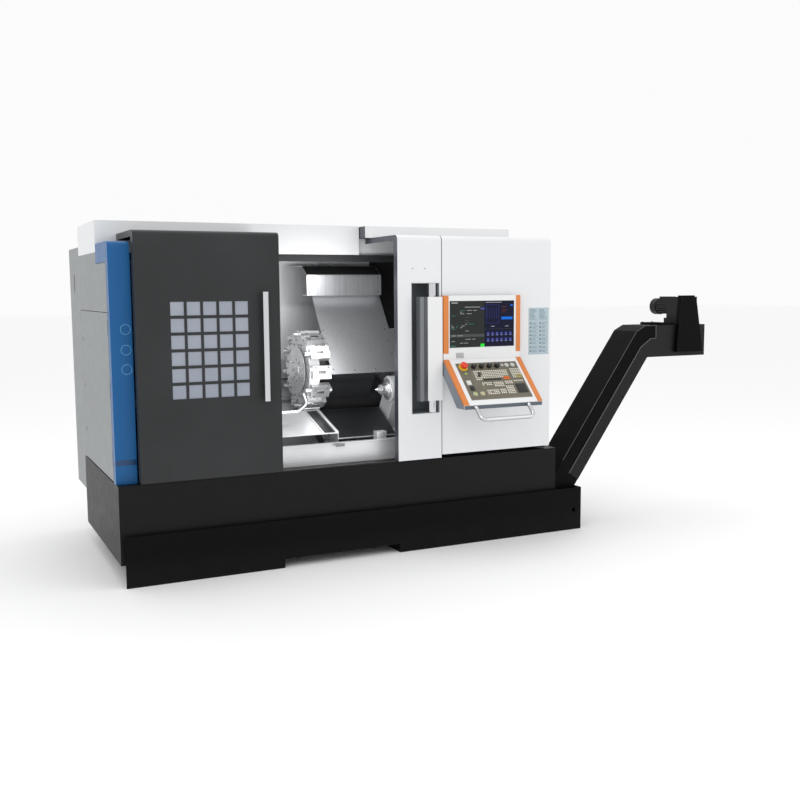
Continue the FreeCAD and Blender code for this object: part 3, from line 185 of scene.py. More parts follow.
# A drain plug closes the front of the tank near its right end.
tank_low, tank_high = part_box("coolant_tank")
plug = bmesh.new()
plug_place = Vector((tank_high.x - 0.052, tank_low.y, 0.118))
add_turned(plug, [(0, 0), (0, 0.017), (0.004, 0.018), (0.0045, 0.012), (0.011, 0.012), (0.012, 0.011),
                  (0.012, 0)],
           plug_place + Vector((0, 0.012, 0)), (0, -1, 0), steps=24)
finished("tank_drain_plug", plug, base_coat, "root")

# ---------------------------------------------------------------- black sheet metal
# The sliding door, its hood, the pendant pocket, the door track and the conveyor are folded sheet with
# a smooth satin black powder coat.
black_coat = sprayed_coat("black_panel", (0.028, 0.029, 0.030), 0.36, peel=0.00008, peel_scale=900,
                          cloud=0.16, shine=0.22)
dress(black_coat, "door_panel", "door_track")
pocket_coat = sprayed_coat("pocket_grey", (0.27, 0.30, 0.32), 0.42, peel=0.0001, peel_scale=700, shine=0.3)
dress(pocket_coat, "pendant_recess")

conveyor_coat = sprayed_coat("conveyor_black", (0.0020, 0.0021, 0.0022), 0.50, peel=0.0002, peel_scale=600,
                             dust=0.02, dust_top=0.06, shine=0.07)
dress(conveyor_coat, "conveyor_casing", "chain_guard")

# ---------------------------------------------------------------- white, grey and blue sheet metal
# The front covers and roof are satin white, the ends and back a plain grey, and the left column a
# deep blue. All are folded sheet, sprayed after forming.


def paint_shade_on_flanges(material, from_x):
    """Painted shade: turn the flanges that face left or down, past a place along X, a dark blue-grey."""
    facing_limit, painted_shade_colour = -0.7, (0.045, 0.051, 0.068, 1)
    make, link = maker(material.node_tree), material.node_tree.links.new
    base = material.node_tree.nodes["Principled BSDF"].inputs["Base Color"]
    painted = base.links[0].from_socket
    spot = make("ShaderNodeNewGeometry")
    split = make("ShaderNodeSeparateXYZ", Vector=spot.outputs["Position"])
    turned = make("ShaderNodeSeparateXYZ", Vector=spot.outputs["Normal"])
    masks = []
    for socket, operation, limit in ((turned.outputs["X"], "LESS_THAN", facing_limit),
                                     (turned.outputs["Z"], "LESS_THAN", facing_limit),
                                     (split.outputs["X"], "GREATER_THAN", from_x)):
        test = make("ShaderNodeMath", operation=operation)
        link(socket, test.inputs[0])
        test.inputs[1].default_value = limit
        masks.append(test.outputs["Value"])
    either, both = make("ShaderNodeMath", operation="MAXIMUM"), make("ShaderNodeMath", operation="MULTIPLY")
    for source, target in ((masks[0], either.inputs[0]), (masks[1], either.inputs[1]),
                           (either.outputs["Value"], both.inputs[0]), (masks[2], both.inputs[1])):
        link(source, target)
    mix = make("ShaderNodeMix", data_type="RGBA")
    link(both.outputs["Value"], mix.inputs["Factor"])
    link(painted, mix.inputs["A"])
    mix.inputs["B"].default_value = painted_shade_colour
    link(mix.outputs["Result"], base)


white_coat = sprayed_coat("white_panel", (0.74, 0.75, 0.76), 0.32, peel=0.00006, cloud=0.012, coat=0.1)
# Faces of the white covers that look left or down, right of x = -0.25, are painted dark: painted shade.
paint_shade_on_flanges(white_coat, -0.25)
dress(white_coat, "front_panels", "roof_covers")
grey_coat = sprayed_coat("grey_side", (0.212, 0.228, 0.233), 0.42, peel=0.00012, cloud=0.03, dust=0.12,
                         dust_top=0.8)
dress(grey_coat, "left_end_cover", "left_service_door", "right_end_cover", "back_cover",
      "electrical_cabinet", "cabinet_door")
blue_coat = sprayed_coat("blue_panel", (0.006, 0.098, 0.280), 0.36, peel=0.00006, cloud=0.03, shine=0.28)
dress(blue_coat, "blue_column")

# ---------------------------------------------------------------- stainless sheet
# The walls, the travelling cover, the chip sheet and the sill are brushed stainless sheet, with faint
# clouds where coolant has dried. The grain runs along X on the chip sheet and upright on the rest.


def brushed(name, colour, rough, grain=(3, 240, 240), depth=0.00004, stain=0.10, streak=0.09, metal=1.0):
    """Brushed metal: fine streaks in gloss and colour along one axis, and dried coolant marks."""
    material, shader, make, link = shader_tree(name)
    place = make("ShaderNodeTexCoord").outputs["Object"]
    stretch = make("ShaderNodeMapping", Vector=place, Scale=grain)
    streaks = make("ShaderNodeTexNoise", Vector=stretch.outputs["Vector"], Scale=1.0, Detail=6.0,
                   Roughness=0.6)
    cloud = make("ShaderNodeTexNoise", Vector=place, Scale=4.5, Detail=7.0, Roughness=0.62, Distortion=0.4)
    dried = make("ShaderNodeMapRange", Value=cloud.outputs["Fac"], From_Min=0.48, From_Max=0.72,
                 To_Min=0.0, To_Max=stain)
    shade = make("ShaderNodeMapRange", Value=streaks.outputs["Fac"], From_Min=0.25, From_Max=0.75,
                 To_Min=1 - streak, To_Max=1 + streak)
    gloss = make("ShaderNodeMapRange", Value=streaks.outputs["Fac"], From_Min=0.2, From_Max=0.8,
                 To_Min=rough - 0.06, To_Max=rough + 0.10)
    dim, wet = make("ShaderNodeMath", operation="SUBTRACT"), make("ShaderNodeMath", operation="ADD")
    for before, after in ((shade, dim), (gloss, wet)):
        link(before.outputs["Result"], after.inputs[0])
        link(dried.outputs["Result"], after.inputs[1])
    tone = make("ShaderNodeVectorMath", operation="SCALE", Scale=dim.outputs["Value"])
    tone.inputs[0].default_value = colour
    link(tone.outputs["Vector"], shader.inputs["Base Color"])
    link(wet.outputs["Value"], shader.inputs["Roughness"])
    bump = make("ShaderNodeBump", Height=streaks.outputs["Fac"], Strength=0.35, Distance=depth)
    link(bump.outputs["Normal"], shader.inputs["Normal"])
    shader.inputs["Metallic"].default_value = metal
    return material


stainless = brushed("stainless_brushed", (0.86, 0.87, 0.885), 0.34, metal=0.62)
wall_steel = brushed("stainless_upright", (0.90, 0.91, 0.92), 0.40, grain=(240, 240, 3), metal=0.45)
dress(stainless, "chip_chute")
cover_steel = brushed("cover_steel", (0.78, 0.79, 0.81), 0.32, grain=(240, 240, 3), streak=0.16, metal=0.80)
dress(cover_steel, "saddle_cover")
dress(wall_steel, "headstock_guard", "back_wall")
dark_sheet = brushed("dark_sheet_and_recess_shade", (0.10, 0.103, 0.108), 0.40, stain=0.02, streak=0.12)
dress(dark_sheet, "way_cover")

# ---------------------------------------------------------------- machined parts
# Chuck, spindle, turret disc and tool blocks are turned or milled steel; rails, screw and quill are
# ground bright; the pull, pendant tube and console bar are hard chrome.
machined = brushed("machined_steel", (0.62, 0.625, 0.63), 0.28, grain=(60, 60, 60), depth=0.00003, stain=0.06,
                   metal=0.9)
ground = brushed("ground_steel", (0.68, 0.685, 0.69), 0.16, grain=(5, 500, 500), depth=0.00001, stain=0.03)
chrome = brushed("chrome_polish", (0.64, 0.65, 0.67), 0.10, grain=(120, 120, 4), depth=0.000004, stain=0.01,
                 streak=0.02)
dress(machined, "spindle", "chuck_body", "chuck_jaw_1", "chuck_jaw_2", "chuck_jaw_3", "motor_pulley",
      "conveyor_shaft", "levelling_feet")
dress(ground, "guide_rails", "z_ballscrew")
dress(chrome, "door_handle", "pivot_tube", "pendant_handle")
pipe_steel = brushed("pipe_steel", (0.60, 0.605, 0.61), 0.20, grain=(30, 30, 30), stain=0.05)
dress(pipe_steel, "coolant_pipe")

# ---------------------------------------------------------------- painted castings
# Bed, headstock and tailstock are iron castings in pale grey enamel, and the slides and turret body in
# dark enamel, thick enough to keep a slight waviness. Motors are machine black.
cast_paint = sprayed_coat("cast_paint", (0.46, 0.475, 0.48), 0.38, peel=0.0012, peel_scale=60, cloud=0.08,
                          coat=0.1)
dress(cast_paint, "bed_casting", "headstock")
tail_paint = sprayed_coat("tail_paint", (0.64, 0.655, 0.665), 0.34, peel=0.0010, peel_scale=60, cloud=0.05)
dress(tail_paint, "tailstock_body")
slide_paint = sprayed_coat("slide_paint", (0.030, 0.031, 0.033), 0.36, peel=0.0010, peel_scale=60, cloud=0.08)
dress(slide_paint, "saddle", "cross_slide", "turret_housing")
motor_paint = sprayed_coat("motor_black", (0.009, 0.0095, 0.010), 0.45, peel=0.0006, peel_scale=180,
                           cloud=0.1, shine=0.25)
dress(motor_paint, "spindle_motor", "conveyor_motor")
belt_rubber = sprayed_coat("belt_rubber", (0.018, 0.018, 0.018), 0.72, peel=0.0005, peel_scale=300,
                           cloud=0.12)
dress(belt_rubber, "drive_belt")

# ---------------------------------------------------------------- door pane
# One laminated pane sits behind the squares cut in the door. It is tinted and slightly frosted, so it
# shows pale grey in daylight.
pane_material, pane_shader, pane_make, pane_link = shader_tree("window_pane")
pane_place = pane_make("ShaderNodeTexCoord").outputs["Object"]
pane_haze = pane_make("ShaderNodeTexNoise", Scale=3.0, Detail=3.0)
pane_link(pane_place, pane_haze.inputs["Vector"])
pane_tone = pane_make("ShaderNodeMix", data_type="RGBA")
pane_tone.inputs["A"].default_value = (0.18, 0.215, 0.275, 1)
pane_tone.inputs["B"].default_value = (0.36, 0.38, 0.43, 1)
pane_link(pane_haze.outputs["Fac"], pane_tone.inputs["Factor"])
pane_link(pane_tone.outputs["Result"], pane_shader.inputs["Base Color"])
pane_shader.inputs["Roughness"].default_value = 0.16
pane_shader.inputs["Coat Weight"].default_value = 0.6
pane_shader.inputs["Coat Roughness"].default_value = 0.04
dress(pane_material, "door_window")

# ---------------------------------------------------------------- screws
# Button-head socket screws hold every sheet. One tree makes a row of them from a set of points, so
# that each row is one plain mesh on its own body.


def tree_with(name, **sizes):
    """New geometry tree with a mesh input, named sizes and a material; returns its parts."""
    tree = bpy.data.node_groups.new(name, "GeometryNodeTree")
    face = tree.interface
    face.new_socket("Geometry", in_out="INPUT", socket_type="NodeSocketGeometry")
    face.new_socket("Geometry", in_out="OUTPUT", socket_type="NodeSocketGeometry")
    for label, value in sizes.items():
        kind = {bool: "NodeSocketBool", int: "NodeSocketInt", float: "NodeSocketFloat",
                tuple: "NodeSocketVector"}[type(value)]
        face.new_socket(label, in_out="INPUT", socket_type=kind).default_value = value
    face.new_socket("finish", in_out="INPUT", socket_type="NodeSocketMaterial")
    given = tree.nodes.new("NodeGroupInput").outputs
    result = tree.nodes.new("NodeGroupOutput").inputs["Geometry"]
    make = maker(tree)

    def close(geometry):
        """Realize the instances, set the finish and send the result out."""
        real = make("GeometryNodeRealizeInstances", Geometry=geometry)
        painted = make("GeometryNodeSetMaterial", Geometry=real.outputs["Geometry"], Material=given["finish"])
        tree.links.new(painted.outputs["Geometry"], result)

    return tree, given, make, tree.links.new, close


def grown(name, points, tree, sizes, finish, body, angle=35):
    """Run a geometry tree on a set of points and keep its result as one plain mesh."""
    seed = bpy.data.meshes.new(name + "_points")
    seed.from_pydata([tuple(p) for p in points], [], [])
    holder = bpy.data.objects.new(name + "_holder", seed)
    bpy.context.scene.collection.objects.link(holder)
    grow = holder.modifiers.new("grow", "NODES")
    grow.node_group = tree
    for item in tree.interface.items_tree:
        if item.in_out == "INPUT" and item.name in sizes:
            grow[item.identifier] = sizes[item.name]
        if item.in_out == "INPUT" and item.name == "finish":
            grow[item.identifier] = finish
    seen = holder.evaluated_get(bpy.context.evaluated_depsgraph_get())
    mesh = bpy.data.meshes.new_from_object(seen)
    mesh.name = name
    holder.modifiers.remove(grow)
    bpy.data.objects.remove(holder)
    mesh.shade_smooth()
    mesh.set_sharp_from_angle(angle=math.radians(angle))
    piece = bpy.data.objects.new(name, mesh)
    bpy.context.scene.collection.objects.link(piece)
    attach(piece, body)
    return piece


def share_of(value, share):
    """A tree's input times a fixed share."""
    scaled = make("ShaderNodeMath", operation="MULTIPLY")
    link(value, scaled.inputs[0])
    scaled.inputs[1].default_value = share
    return scaled.outputs["Value"]


screw_tree, given, make, link, close = tree_with("cap_screws", radius=0.004, height=0.002,
                                                 facing=(0.0, 0.0, 1.0))
head = make("GeometryNodeMeshCylinder", Vertices=14, Radius=given["radius"], Depth=given["height"])
crown = make("GeometryNodeMeshCylinder", Vertices=14, Radius=share_of(given["radius"], 0.8),
             Depth=given["height"])
lift = make("ShaderNodeCombineXYZ", Z=share_of(given["height"], 0.3))
crown_up = make("GeometryNodeTransform", Geometry=crown.outputs["Mesh"], Translation=lift.outputs["Vector"])
both = make("GeometryNodeJoinGeometry")
link(head.outputs["Mesh"], both.inputs["Geometry"])
link(crown_up.outputs["Geometry"], both.inputs["Geometry"])
aim = make("FunctionNodeAlignRotationToVector", Vector=given["facing"])
placed = make("GeometryNodeInstanceOnPoints", Points=given["Geometry"], Instance=both.outputs["Geometry"],
              Rotation=aim.outputs["Rotation"])
close(placed.outputs["Instances"])


def screws(name, points, facing, radius, body="root", finish=None, height=None):
    """A row of button-head screws, in plain steel where no finish is named."""
    sizes = {"radius": radius, "height": height or radius * 0.9, "facing": facing}
    grown(name, points, screw_tree, sizes, finish or screw_steel, body)


# ---------------------------------------------------------------- status lamps on the column
# Three thin ring lamps are pressed into the blue column, over a groove near its foot, drawn as a darker blue
# strip: painted shade. Each ring is a moulded light guide.


def blocks(name, boxes, finish, body, edge=0.0005, place=Matrix()):
    """One piece made of rounded blocks, each given as (low corner, high corner, finish number)."""
    shape = bmesh.new()
    for low, high, *number in boxes:
        add_block(shape, low, high, edge, place, number[0] if number else 0)
    return finished(name, shape, finish, body)


def moulded(name, colour, rough=0.45, glow=0.0):
    """Moulded plastic with a fine spark-eroded grain; a lamp also glows faintly."""
    material = sprayed_coat(name, colour, rough, peel=0.00006, peel_scale=1600, cloud=0.04)
    if glow:
        shader = material.node_tree.nodes["Principled BSDF"]
        shader.inputs["Emission Color"].default_value = (*colour, 1)
        shader.inputs["Emission Strength"].default_value = glow
    return material


column_low, column_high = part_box("blue_column")
ring_tree, given, make, link, close = tree_with("ring_lamps", radius=0.0235, wire=0.0012,
                                               facing=(0.0, -1.0, 0.0))
ring_line = make("GeometryNodeCurvePrimitiveCircle", Radius=given["radius"], Resolution=48)
ring_wire = make("GeometryNodeCurvePrimitiveCircle", Radius=given["wire"], Resolution=8)
ring_mesh = make("GeometryNodeCurveToMesh", Curve=ring_line.outputs["Curve"])
link(ring_wire.outputs["Curve"], ring_mesh.inputs["Profile Curve"])
ring_aim = make("FunctionNodeAlignRotationToVector", Vector=given["facing"])
ring_set = make("GeometryNodeInstanceOnPoints", Points=given["Geometry"], Instance=ring_mesh.outputs["Mesh"],
                Rotation=ring_aim.outputs["Rotation"])
close(ring_set.outputs["Instances"])
lamp_guide = moulded("lamp_guide", (0.12, 0.34, 0.55), 0.3, glow=0.12)
grown("status_lamps", [(column_low.x + 0.071, column_low.y, level) for level in (1.238, 1.140, 1.047)],
      ring_tree, {"radius": 0.0235, "wire": 0.0012}, lamp_guide, "root")
# The darker blue strip over the groove is painted shade.
groove_painted_shade = sprayed_coat("column_groove_painted_shade", (0.006, 0.045, 0.13), 0.4)
blocks("column_groove_strip", [((column_low.x + 0.0005, column_low.y - 0.0006, 0.584),
                                (column_high.x - 0.001, column_low.y + 0.002, 0.611))],
       groove_painted_shade, "root")

# ---------------------------------------------------------------- door furniture
# The pull has pressed end caps, a rubber brush seals the door's foot, and six small clamps hold the
# pane from inside.
door_low, door_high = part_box("door_panel")
pull_low, pull_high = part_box("door_handle")
black_plastic = moulded("black_plastic", (0.012, 0.012, 0.013), 0.5)
blocks("door_handle_caps", [((pull_low.x - 0.0004, pull_low.y - 0.0004, end), (pull_high.x + 0.0004,
                             pull_low.y + 0.0204, end + 0.004))
                            for end in (pull_low.z - 0.0005, pull_high.z - 0.0035)],
       chrome, "door", edge=0.0006)
blocks("door_foot_brush", [((door_low.x + 0.004, door_low.y + 0.004, door_low.z - 0.0035),
                            (door_high.x - 0.004, door_low.y + 0.012, door_low.z))],
       belt_rubber, "door")
pane_low, pane_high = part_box("door_window")
blocks("door_pane_clamps", [((x, pane_high.y, z), (x + 0.030, pane_high.y + 0.004, z + 0.014))
                            for x in (pane_low.x + 0.02, 0.5 * (pane_low.x + pane_high.x) - 0.015,
                                      pane_high.x - 0.05)
                            for z in (pane_low.z - 0.006, pane_high.z - 0.008)],
       stainless, "door")

# ---------------------------------------------------------------- front cover screws and chart plate
# Two small screws hold the upper guide behind the left white cover. A printed aluminium plate with
# rows of plain symbols is riveted to the right one.
front_y = door_low.y
screw_steel = brushed("screw_steel", (0.30, 0.305, 0.31), 0.35, grain=(90, 90, 90))
screws("front_cover_screws", [(0.313, front_y, 1.529), (0.387, front_y, 1.529)], (0, -1, 0), 0.0032)
chart_base = sprayed_coat("chart_plate", (0.40, 0.50, 0.55), 0.42, peel_scale=1500, cloud=0.05)
chart_ink = sprayed_coat("chart_ink", (0.10, 0.13, 0.17), 0.5)
chart_rule = sprayed_coat("chart_rule", (0.45, 0.42, 0.26), 0.5)
chart_x, chart_z = (1.047, 1.181), (1.046, 1.310)
chart_face = front_y - 0.0015
chart = [((chart_x[0], chart_face, chart_z[0]), (chart_x[1], front_y, chart_z[1]), 0)]
chart_dice = random.Random(7)


def printed(x, z, wide, tall, ink):
    """A printed field on the chart plate."""
    return ((x, chart_face - 0.00015, z), (x + wide, chart_face, z + tall), ink)


for line in range(9):
    level = chart_z[1] - 0.010 - line * 0.0068
    for column in range(2):
        start = chart_x[0] + 0.006 + column * 0.064
        chart.append(printed(start, level, chart_dice.uniform(0.030, 0.054), 0.0022, 1))
for line in range(8):
    level = chart_z[1] - 0.078 - line * 0.0225
    chart.append(printed(chart_x[0] + 0.004, level, 0.126, 0.0010, 2 if line % 3 == 0 else 1))
    for column in range(2):
        start = chart_x[0] + 0.008 + column * 0.064
        chart.append(printed(start, level - 0.0135, 0.010, 0.0085, 1))
        for text in range(2):
            chart.append(printed(start + 0.015, level - 0.009 - text * 0.006,
                                 chart_dice.uniform(0.020, 0.038), 0.0020, 1))
blocks("chart_plate", chart, [chart_base, chart_ink, chart_rule], "root", edge=0)
screws("chart_rivets", [(x, chart_face, z) for x in (chart_x[0] + 0.004, chart_x[1] - 0.004)
                        for z in (chart_z[0] + 0.004, chart_z[1] - 0.004)], (0, -1, 0), 0.0018)

# ---------------------------------------------------------------- console paint
# Display case, key console and arm are folded sheet in satin white, with a blue-grey underside.
console_white = sprayed_coat("console_paint", (0.76, 0.765, 0.77), 0.32, peel=0.00005, cloud=0.01, coat=0.15)
dress(console_white, "pendant_arm", "display_housing", "keyboard_housing")
arm_low, arm_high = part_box("pendant_arm")
# The arm's shaded left side is drawn as a dark grey half-round skin, which is painted shade, with a pale grey
# strip down it, which is a painted highlight.
barrel_painted_shade = sprayed_coat("arm_barrel_painted_shade", (0.040, 0.045, 0.052), 0.30, peel=0.00005, coat=0.3)
barrel_painted_highlight = sprayed_coat("arm_rib_painted_highlight", (0.155, 0.165, 0.180), 0.34, peel=0.00005)
barrel = bmesh.new()
barrel_middle, barrel_reach = Vector((arm_low.x + 0.022, arm_low.y + 0.022)), 0.0225
bow = [math.radians(180 + 10 * step) for step in range(-9, 10)]
bow_rings = [[barrel.verts.new((barrel_middle.x + (barrel_reach - inset) * math.cos(angle),
                                barrel_middle.y + (barrel_reach - inset) * math.sin(angle), level))
              for angle in bow]
             for level in (arm_low.z - 0.0004, arm_high.z + 0.0004) for inset in (0, 0.004)]
for count in range(len(bow) - 1):
    low_out, low_in, high_out, high_in = ((ring[count], ring[count + 1]) for ring in bow_rings)
    for one, two in ((low_out, high_out), (high_in, low_in), (low_in, low_out), (high_out, high_in)):
        barrel.faces.new((one[0], one[1], two[1], two[0]))
for count in (0, -1):
    low_out, low_in, high_out, high_in = (ring[count] for ring in bow_rings)
    barrel.faces.new((low_out, low_in, high_in, high_out))
bmesh.ops.recalc_face_normals(barrel, faces=barrel.faces[:])
add_block(barrel, (barrel_middle.x, arm_low.y - 0.0005, arm_low.z - 0.0004),
          (barrel_middle.x + 0.034, arm_low.y + 0.004, arm_high.z + 0.0004), 0.0002)
add_block(barrel, (barrel_middle.x - 0.012, arm_low.y - 0.0012, arm_low.z - 0.0003),
          (barrel_middle.x + 0.010, arm_low.y + 0.004, arm_high.z + 0.0003), 0.0002, index=1)
finished("arm_barrel", barrel, [barrel_painted_shade, barrel_painted_highlight], "pendant")
trim_orange = sprayed_coat("orange_trim", (0.66, 0.215, 0.055), 0.42, peel=0.00005, cloud=0.03, shine=0.3)

# ---------------------------------------------------------------- display
# The display case has anodised orange edge trims, a grey latch under the glass, and a picture of two
# panes with plain bars and fields.
case_low, case_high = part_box("display_housing")
glass_low, glass_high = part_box("display_screen")
trim_foot = case_low.z + 0.034
blocks("display_trims", [
    ((case_low.x - 0.0008, case_low.y - 0.0030, trim_foot),
     (case_low.x + 0.030, case_low.y + 0.001, case_high.z)),
    ((case_low.x - 0.0008, case_low.y, trim_foot), (case_low.x + 0.001, case_high.y - 0.004, case_high.z)),
    ((case_high.x - 0.026, case_low.y - 0.0030, trim_foot),
     (case_high.x + 0.0008, case_low.y + 0.001, case_high.z)),
    ((case_high.x - 0.001, case_low.y, trim_foot), (case_high.x + 0.0008, case_high.y - 0.004, case_high.z))],
       trim_orange, "pendant", edge=0.0008)
latch_grey = moulded("latch_grey", (0.42, 0.42, 0.43), 0.4)
blocks("display_latch", [((case_low.x + 0.078, case_low.y - 0.0020, case_low.z + 0.007),
                          (case_low.x + 0.124, case_low.y, case_low.z + 0.036)),
                         ((case_low.x + 0.083, case_low.y - 0.0032, case_low.z + 0.016),
                          (case_low.x + 0.119, case_low.y - 0.0018, case_low.z + 0.027))],
       latch_grey, "pendant")
blocks("display_frame", [((glass_low.x - 0.004, case_low.y - 0.0012, glass_low.z - 0.004),
                          (glass_high.x + 0.004, case_low.y, glass_low.z)),
                         ((glass_low.x - 0.004, case_low.y - 0.0012, glass_high.z),
                          (glass_high.x + 0.004, case_low.y, glass_high.z + 0.004)),
                         ((glass_low.x - 0.004, case_low.y - 0.0012, glass_low.z),
                          (glass_low.x, case_low.y, glass_high.z)),
                         ((glass_high.x, case_low.y - 0.0012, glass_low.z),
                          (glass_high.x + 0.004, case_low.y, glass_high.z))],
       console_white, "pendant", edge=0.0004)
glass_material, glass_shader, _, _ = shader_tree("screen_glass")
glass_shader.inputs["Base Color"].default_value = (0.012, 0.013, 0.015, 1)
glass_shader.inputs["Roughness"].default_value = 0.10
glass_shader.inputs["Specular IOR Level"].default_value = 0.2
dress(glass_material, "display_screen")


def lit(name, colour, glow=1.0):
    """A colour on the lit screen."""
    material, shader, _, _ = shader_tree(name)
    shader.inputs["Base Color"].default_value = (*[c * 0.3 for c in colour], 1)
    shader.inputs["Emission Color"].default_value = (*colour, 1)
    shader.inputs["Emission Strength"].default_value = glow
    shader.inputs["Roughness"].default_value = 0.12
    shader.inputs["Specular IOR Level"].default_value = 0.12
    return material


SHADE, NAVY, BAND, TEXT, BUTTON, ICON, GO, TEAL, WARN, PURPLE = range(10)
screen_inks = [lit("screen_shade", (0.020, 0.023, 0.022)), lit("screen_navy", (0.006, 0.007, 0.022)),
               lit("screen_band", (0.055, 0.060, 0.060)), lit("screen_text", (0.26, 0.27, 0.27)),
               lit("screen_button", (0.006, 0.120, 0.560)), lit("screen_icon", (0.030, 0.042, 0.180)),
               lit("screen_go", (0.020, 0.620, 0.040)), lit("screen_teal", (0.030, 0.130, 0.120)),
               lit("screen_warn", (0.120, 0.025, 0.028)), lit("screen_purple", (0.070, 0.075, 0.330))]
screen_wide, screen_tall = glass_high.x - glass_low.x, glass_high.z - glass_low.z


def field(across, down, wide, tall, ink, layer=1):
    """A field of the picture, placed by shares of the screen from its top left corner."""
    left = glass_low.x + across * screen_wide
    top = glass_high.z - down * screen_tall
    face = glass_low.y - 0.00012 * layer
    return ((left, face, top - tall * screen_tall), (left + wide * screen_wide, glass_low.y, top), ink)


picture = [field(0, 0, 0.535, 1, SHADE), field(0.535, 0, 0.465, 1, NAVY),
           field(0, 0.715, 0.533, 0.062, BAND, 2), field(0.56, 0.09, 0.20, 0.40, ICON, 2),
           field(0.565, 0.096, 0.19, 0.388, NAVY, 3), field(0.80, 0.355, 0.175, 0.058, BUTTON, 2),
           field(0.945, 0.085, 0.035, 0.034, BUTTON, 2), field(0.475, 0.93, 0.060, 0.070, GO, 3),
           field(0.475, 0.155, 0.058, 0.030, PURPLE, 2), field(0.02, 0.955, 0.075, 0.022, TEAL, 2),
           field(0.03, 0.030, 0.095, 0.026, TEXT, 2), field(0.555, 0.030, 0.25, 0.014, TEXT, 2),
           field(0.23, 0.128, 0.235, 0.014, TEXT, 2)]
picture_dice = random.Random(11)
picture_lines = (0.20, 0.235, 0.27, 0.31, 0.345, 0.42, 0.46, 0.495, 0.53, 0.565, 0.60, 0.64, 0.74, 0.82,
                 0.86, 0.90)
for down in picture_lines:
    across = picture_dice.choice((0.03, 0.16, 0.24))
    for _ in range(picture_dice.randint(1, 3)):
        wide = picture_dice.uniform(0.025, 0.085)
        picture.append(field(across, down, wide, 0.012, picture_dice.choice((TEXT, TEXT, BAND, TEAL)), 3))
        across += wide + picture_dice.uniform(0.012, 0.05)
for column in range(6):
    for down in (0.685, 0.815):
        picture.append(field(0.572 + column * 0.0705, down, 0.040, 0.075, ICON, 2))
        picture.append(field(0.582 + column * 0.0705, down + 0.014, 0.020, 0.034, PURPLE, 3))
        picture.append(field(0.576 + column * 0.0705, down + 0.060, 0.032, 0.008, TEXT, 3))
for down in (0.13, 0.20, 0.245):
    picture.append(field(0.805, down, picture_dice.uniform(0.05, 0.11), 0.012, WARN, 2))
for across in (0.64, 0.86):
    picture.append(field(across, 0.552, 0.055, 0.014, TEXT, 2))
for line in range(5):
    picture.append(field(0.585 + 0.034 * line, 0.15, 0.004, 0.24, ICON, 4))
picture.append(field(0.535, 0.615, 0.465, 0.004, BAND, 2))
blocks("screen_picture", picture, screen_inks, "pendant", edge=0)

# ---------------------------------------------------------------- key console
# A brown-grey membrane plate is let into the sloping white console between two orange trims. Caps of
# beige, yellow, orange and black keys stand through it, with a black touch pad at the right.
console_low, console_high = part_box("keyboard_housing")
slope = math.radians(45)
lip = 0.022
slope_run = (console_high.z - console_low.z - lip) / math.sin(slope)
keys_corner = (console_low.x, console_low.y + slope_run * math.cos(slope), console_high.z)
keys_place = Matrix.Translation(keys_corner) @ Matrix.Rotation(slope, 4, "X")
key_face = keys_place.to_3x3() @ Vector((0, 0, 1))
console_wide = console_high.x - console_low.x
blocks("console_trims", [
    ((-0.0008, -slope_run - 0.0006, -0.010), (0.031, -0.0010, 0.0035)),
    ((console_wide - 0.028, -slope_run - 0.0006, -0.010), (console_wide + 0.0008, -0.0010, 0.0035))],
       trim_orange, "pendant", edge=0.0010, place=keys_place)
skirt_blue = sprayed_coat("console_skirt", (0.085, 0.105, 0.130), 0.4, peel=0.00006)
cheek_grey = sprayed_coat("console_cheek", (0.21, 0.235, 0.275), 0.4, peel=0.00006)
blocks("console_front_lip", [((console_low.x + 0.0015, console_low.y - 0.0008, console_low.z - 0.0004),
                              (console_high.x - 0.0015, console_low.y + 0.0012,
                               console_low.z + lip - 0.0025))],
       skirt_blue, "pendant")


def add_plate(shape, outline, across, near, far, index=0):
    """Add a flat plate of an outline, between two places along axis 0 or 1."""
    sides = []
    for spot in (near, far):
        corners = [list(point) for point in outline]
        for corner in corners:
            corner.insert(across, spot)
        sides.append([shape.verts.new(corner) for corner in corners])
    faces = [shape.faces.new(side) for side in sides]
    for count in range(len(outline)):
        after = (count + 1) % len(outline)
        faces.append(shape.faces.new((sides[0][count], sides[0][after], sides[1][after], sides[1][count])))
    for face in faces:
        face.material_index = index


cheek_proud = 0.0012
slope_end = console_low.y + slope_run * math.cos(slope)
cheek_front, cheek_back, cheek_top = console_low.y + 0.001, console_high.y - 0.003, console_high.z - 0.014
cheek_outline = [(cheek_front, console_low.z + lip - 0.008), (slope_end - 0.004, cheek_top),
                 (cheek_back, cheek_top), (cheek_back, console_high.z - 0.084),
                 (slope_end + 0.003, console_high.z - 0.084), (slope_end - 0.147, console_low.z + 0.001),
                 (cheek_front, console_low.z + 0.001)]
for side, edge_x, out in (("left", console_low.x, -cheek_proud), ("right", console_high.x, cheek_proud)):
    cheek = bmesh.new()
    add_plate(cheek, cheek_outline, 0, edge_x + out, edge_x - 0.5 * out)
    bmesh.ops.recalc_face_normals(cheek, faces=cheek.faces[:])
    finished(f"console_cheek_{side}", cheek, cheek_grey, "pendant")
plate_olive = sprayed_coat("key_plate", (0.135, 0.120, 0.085), 0.48, peel=0.00005, peel_scale=1400,
                           cloud=0.05)
plate_line = sprayed_coat("key_plate_line", (0.33, 0.31, 0.25), 0.5)
plate_left, plate_right, plate_top, plate_foot = 0.058, 0.440, -0.030, -0.286
line_low, line_high = 0.0014, 0.0018
blocks("key_plate", [
    ((plate_left, plate_foot, 0), (plate_right, plate_top, 0.0016), 0),
    ((plate_left + 0.074, plate_top - 0.160, line_low),
     (plate_left + 0.0752, plate_top - 0.046, line_high), 1),
    ((plate_left + 0.110, plate_foot + 0.022, line_low),
     (plate_left + 0.1112, plate_top - 0.164, line_high), 1),
    ((plate_left + 0.004, plate_foot + 0.004, line_low),
     (plate_right - 0.004, plate_foot + 0.005, line_high), 1)],
       [plate_olive, plate_line], "pendant", place=keys_place)

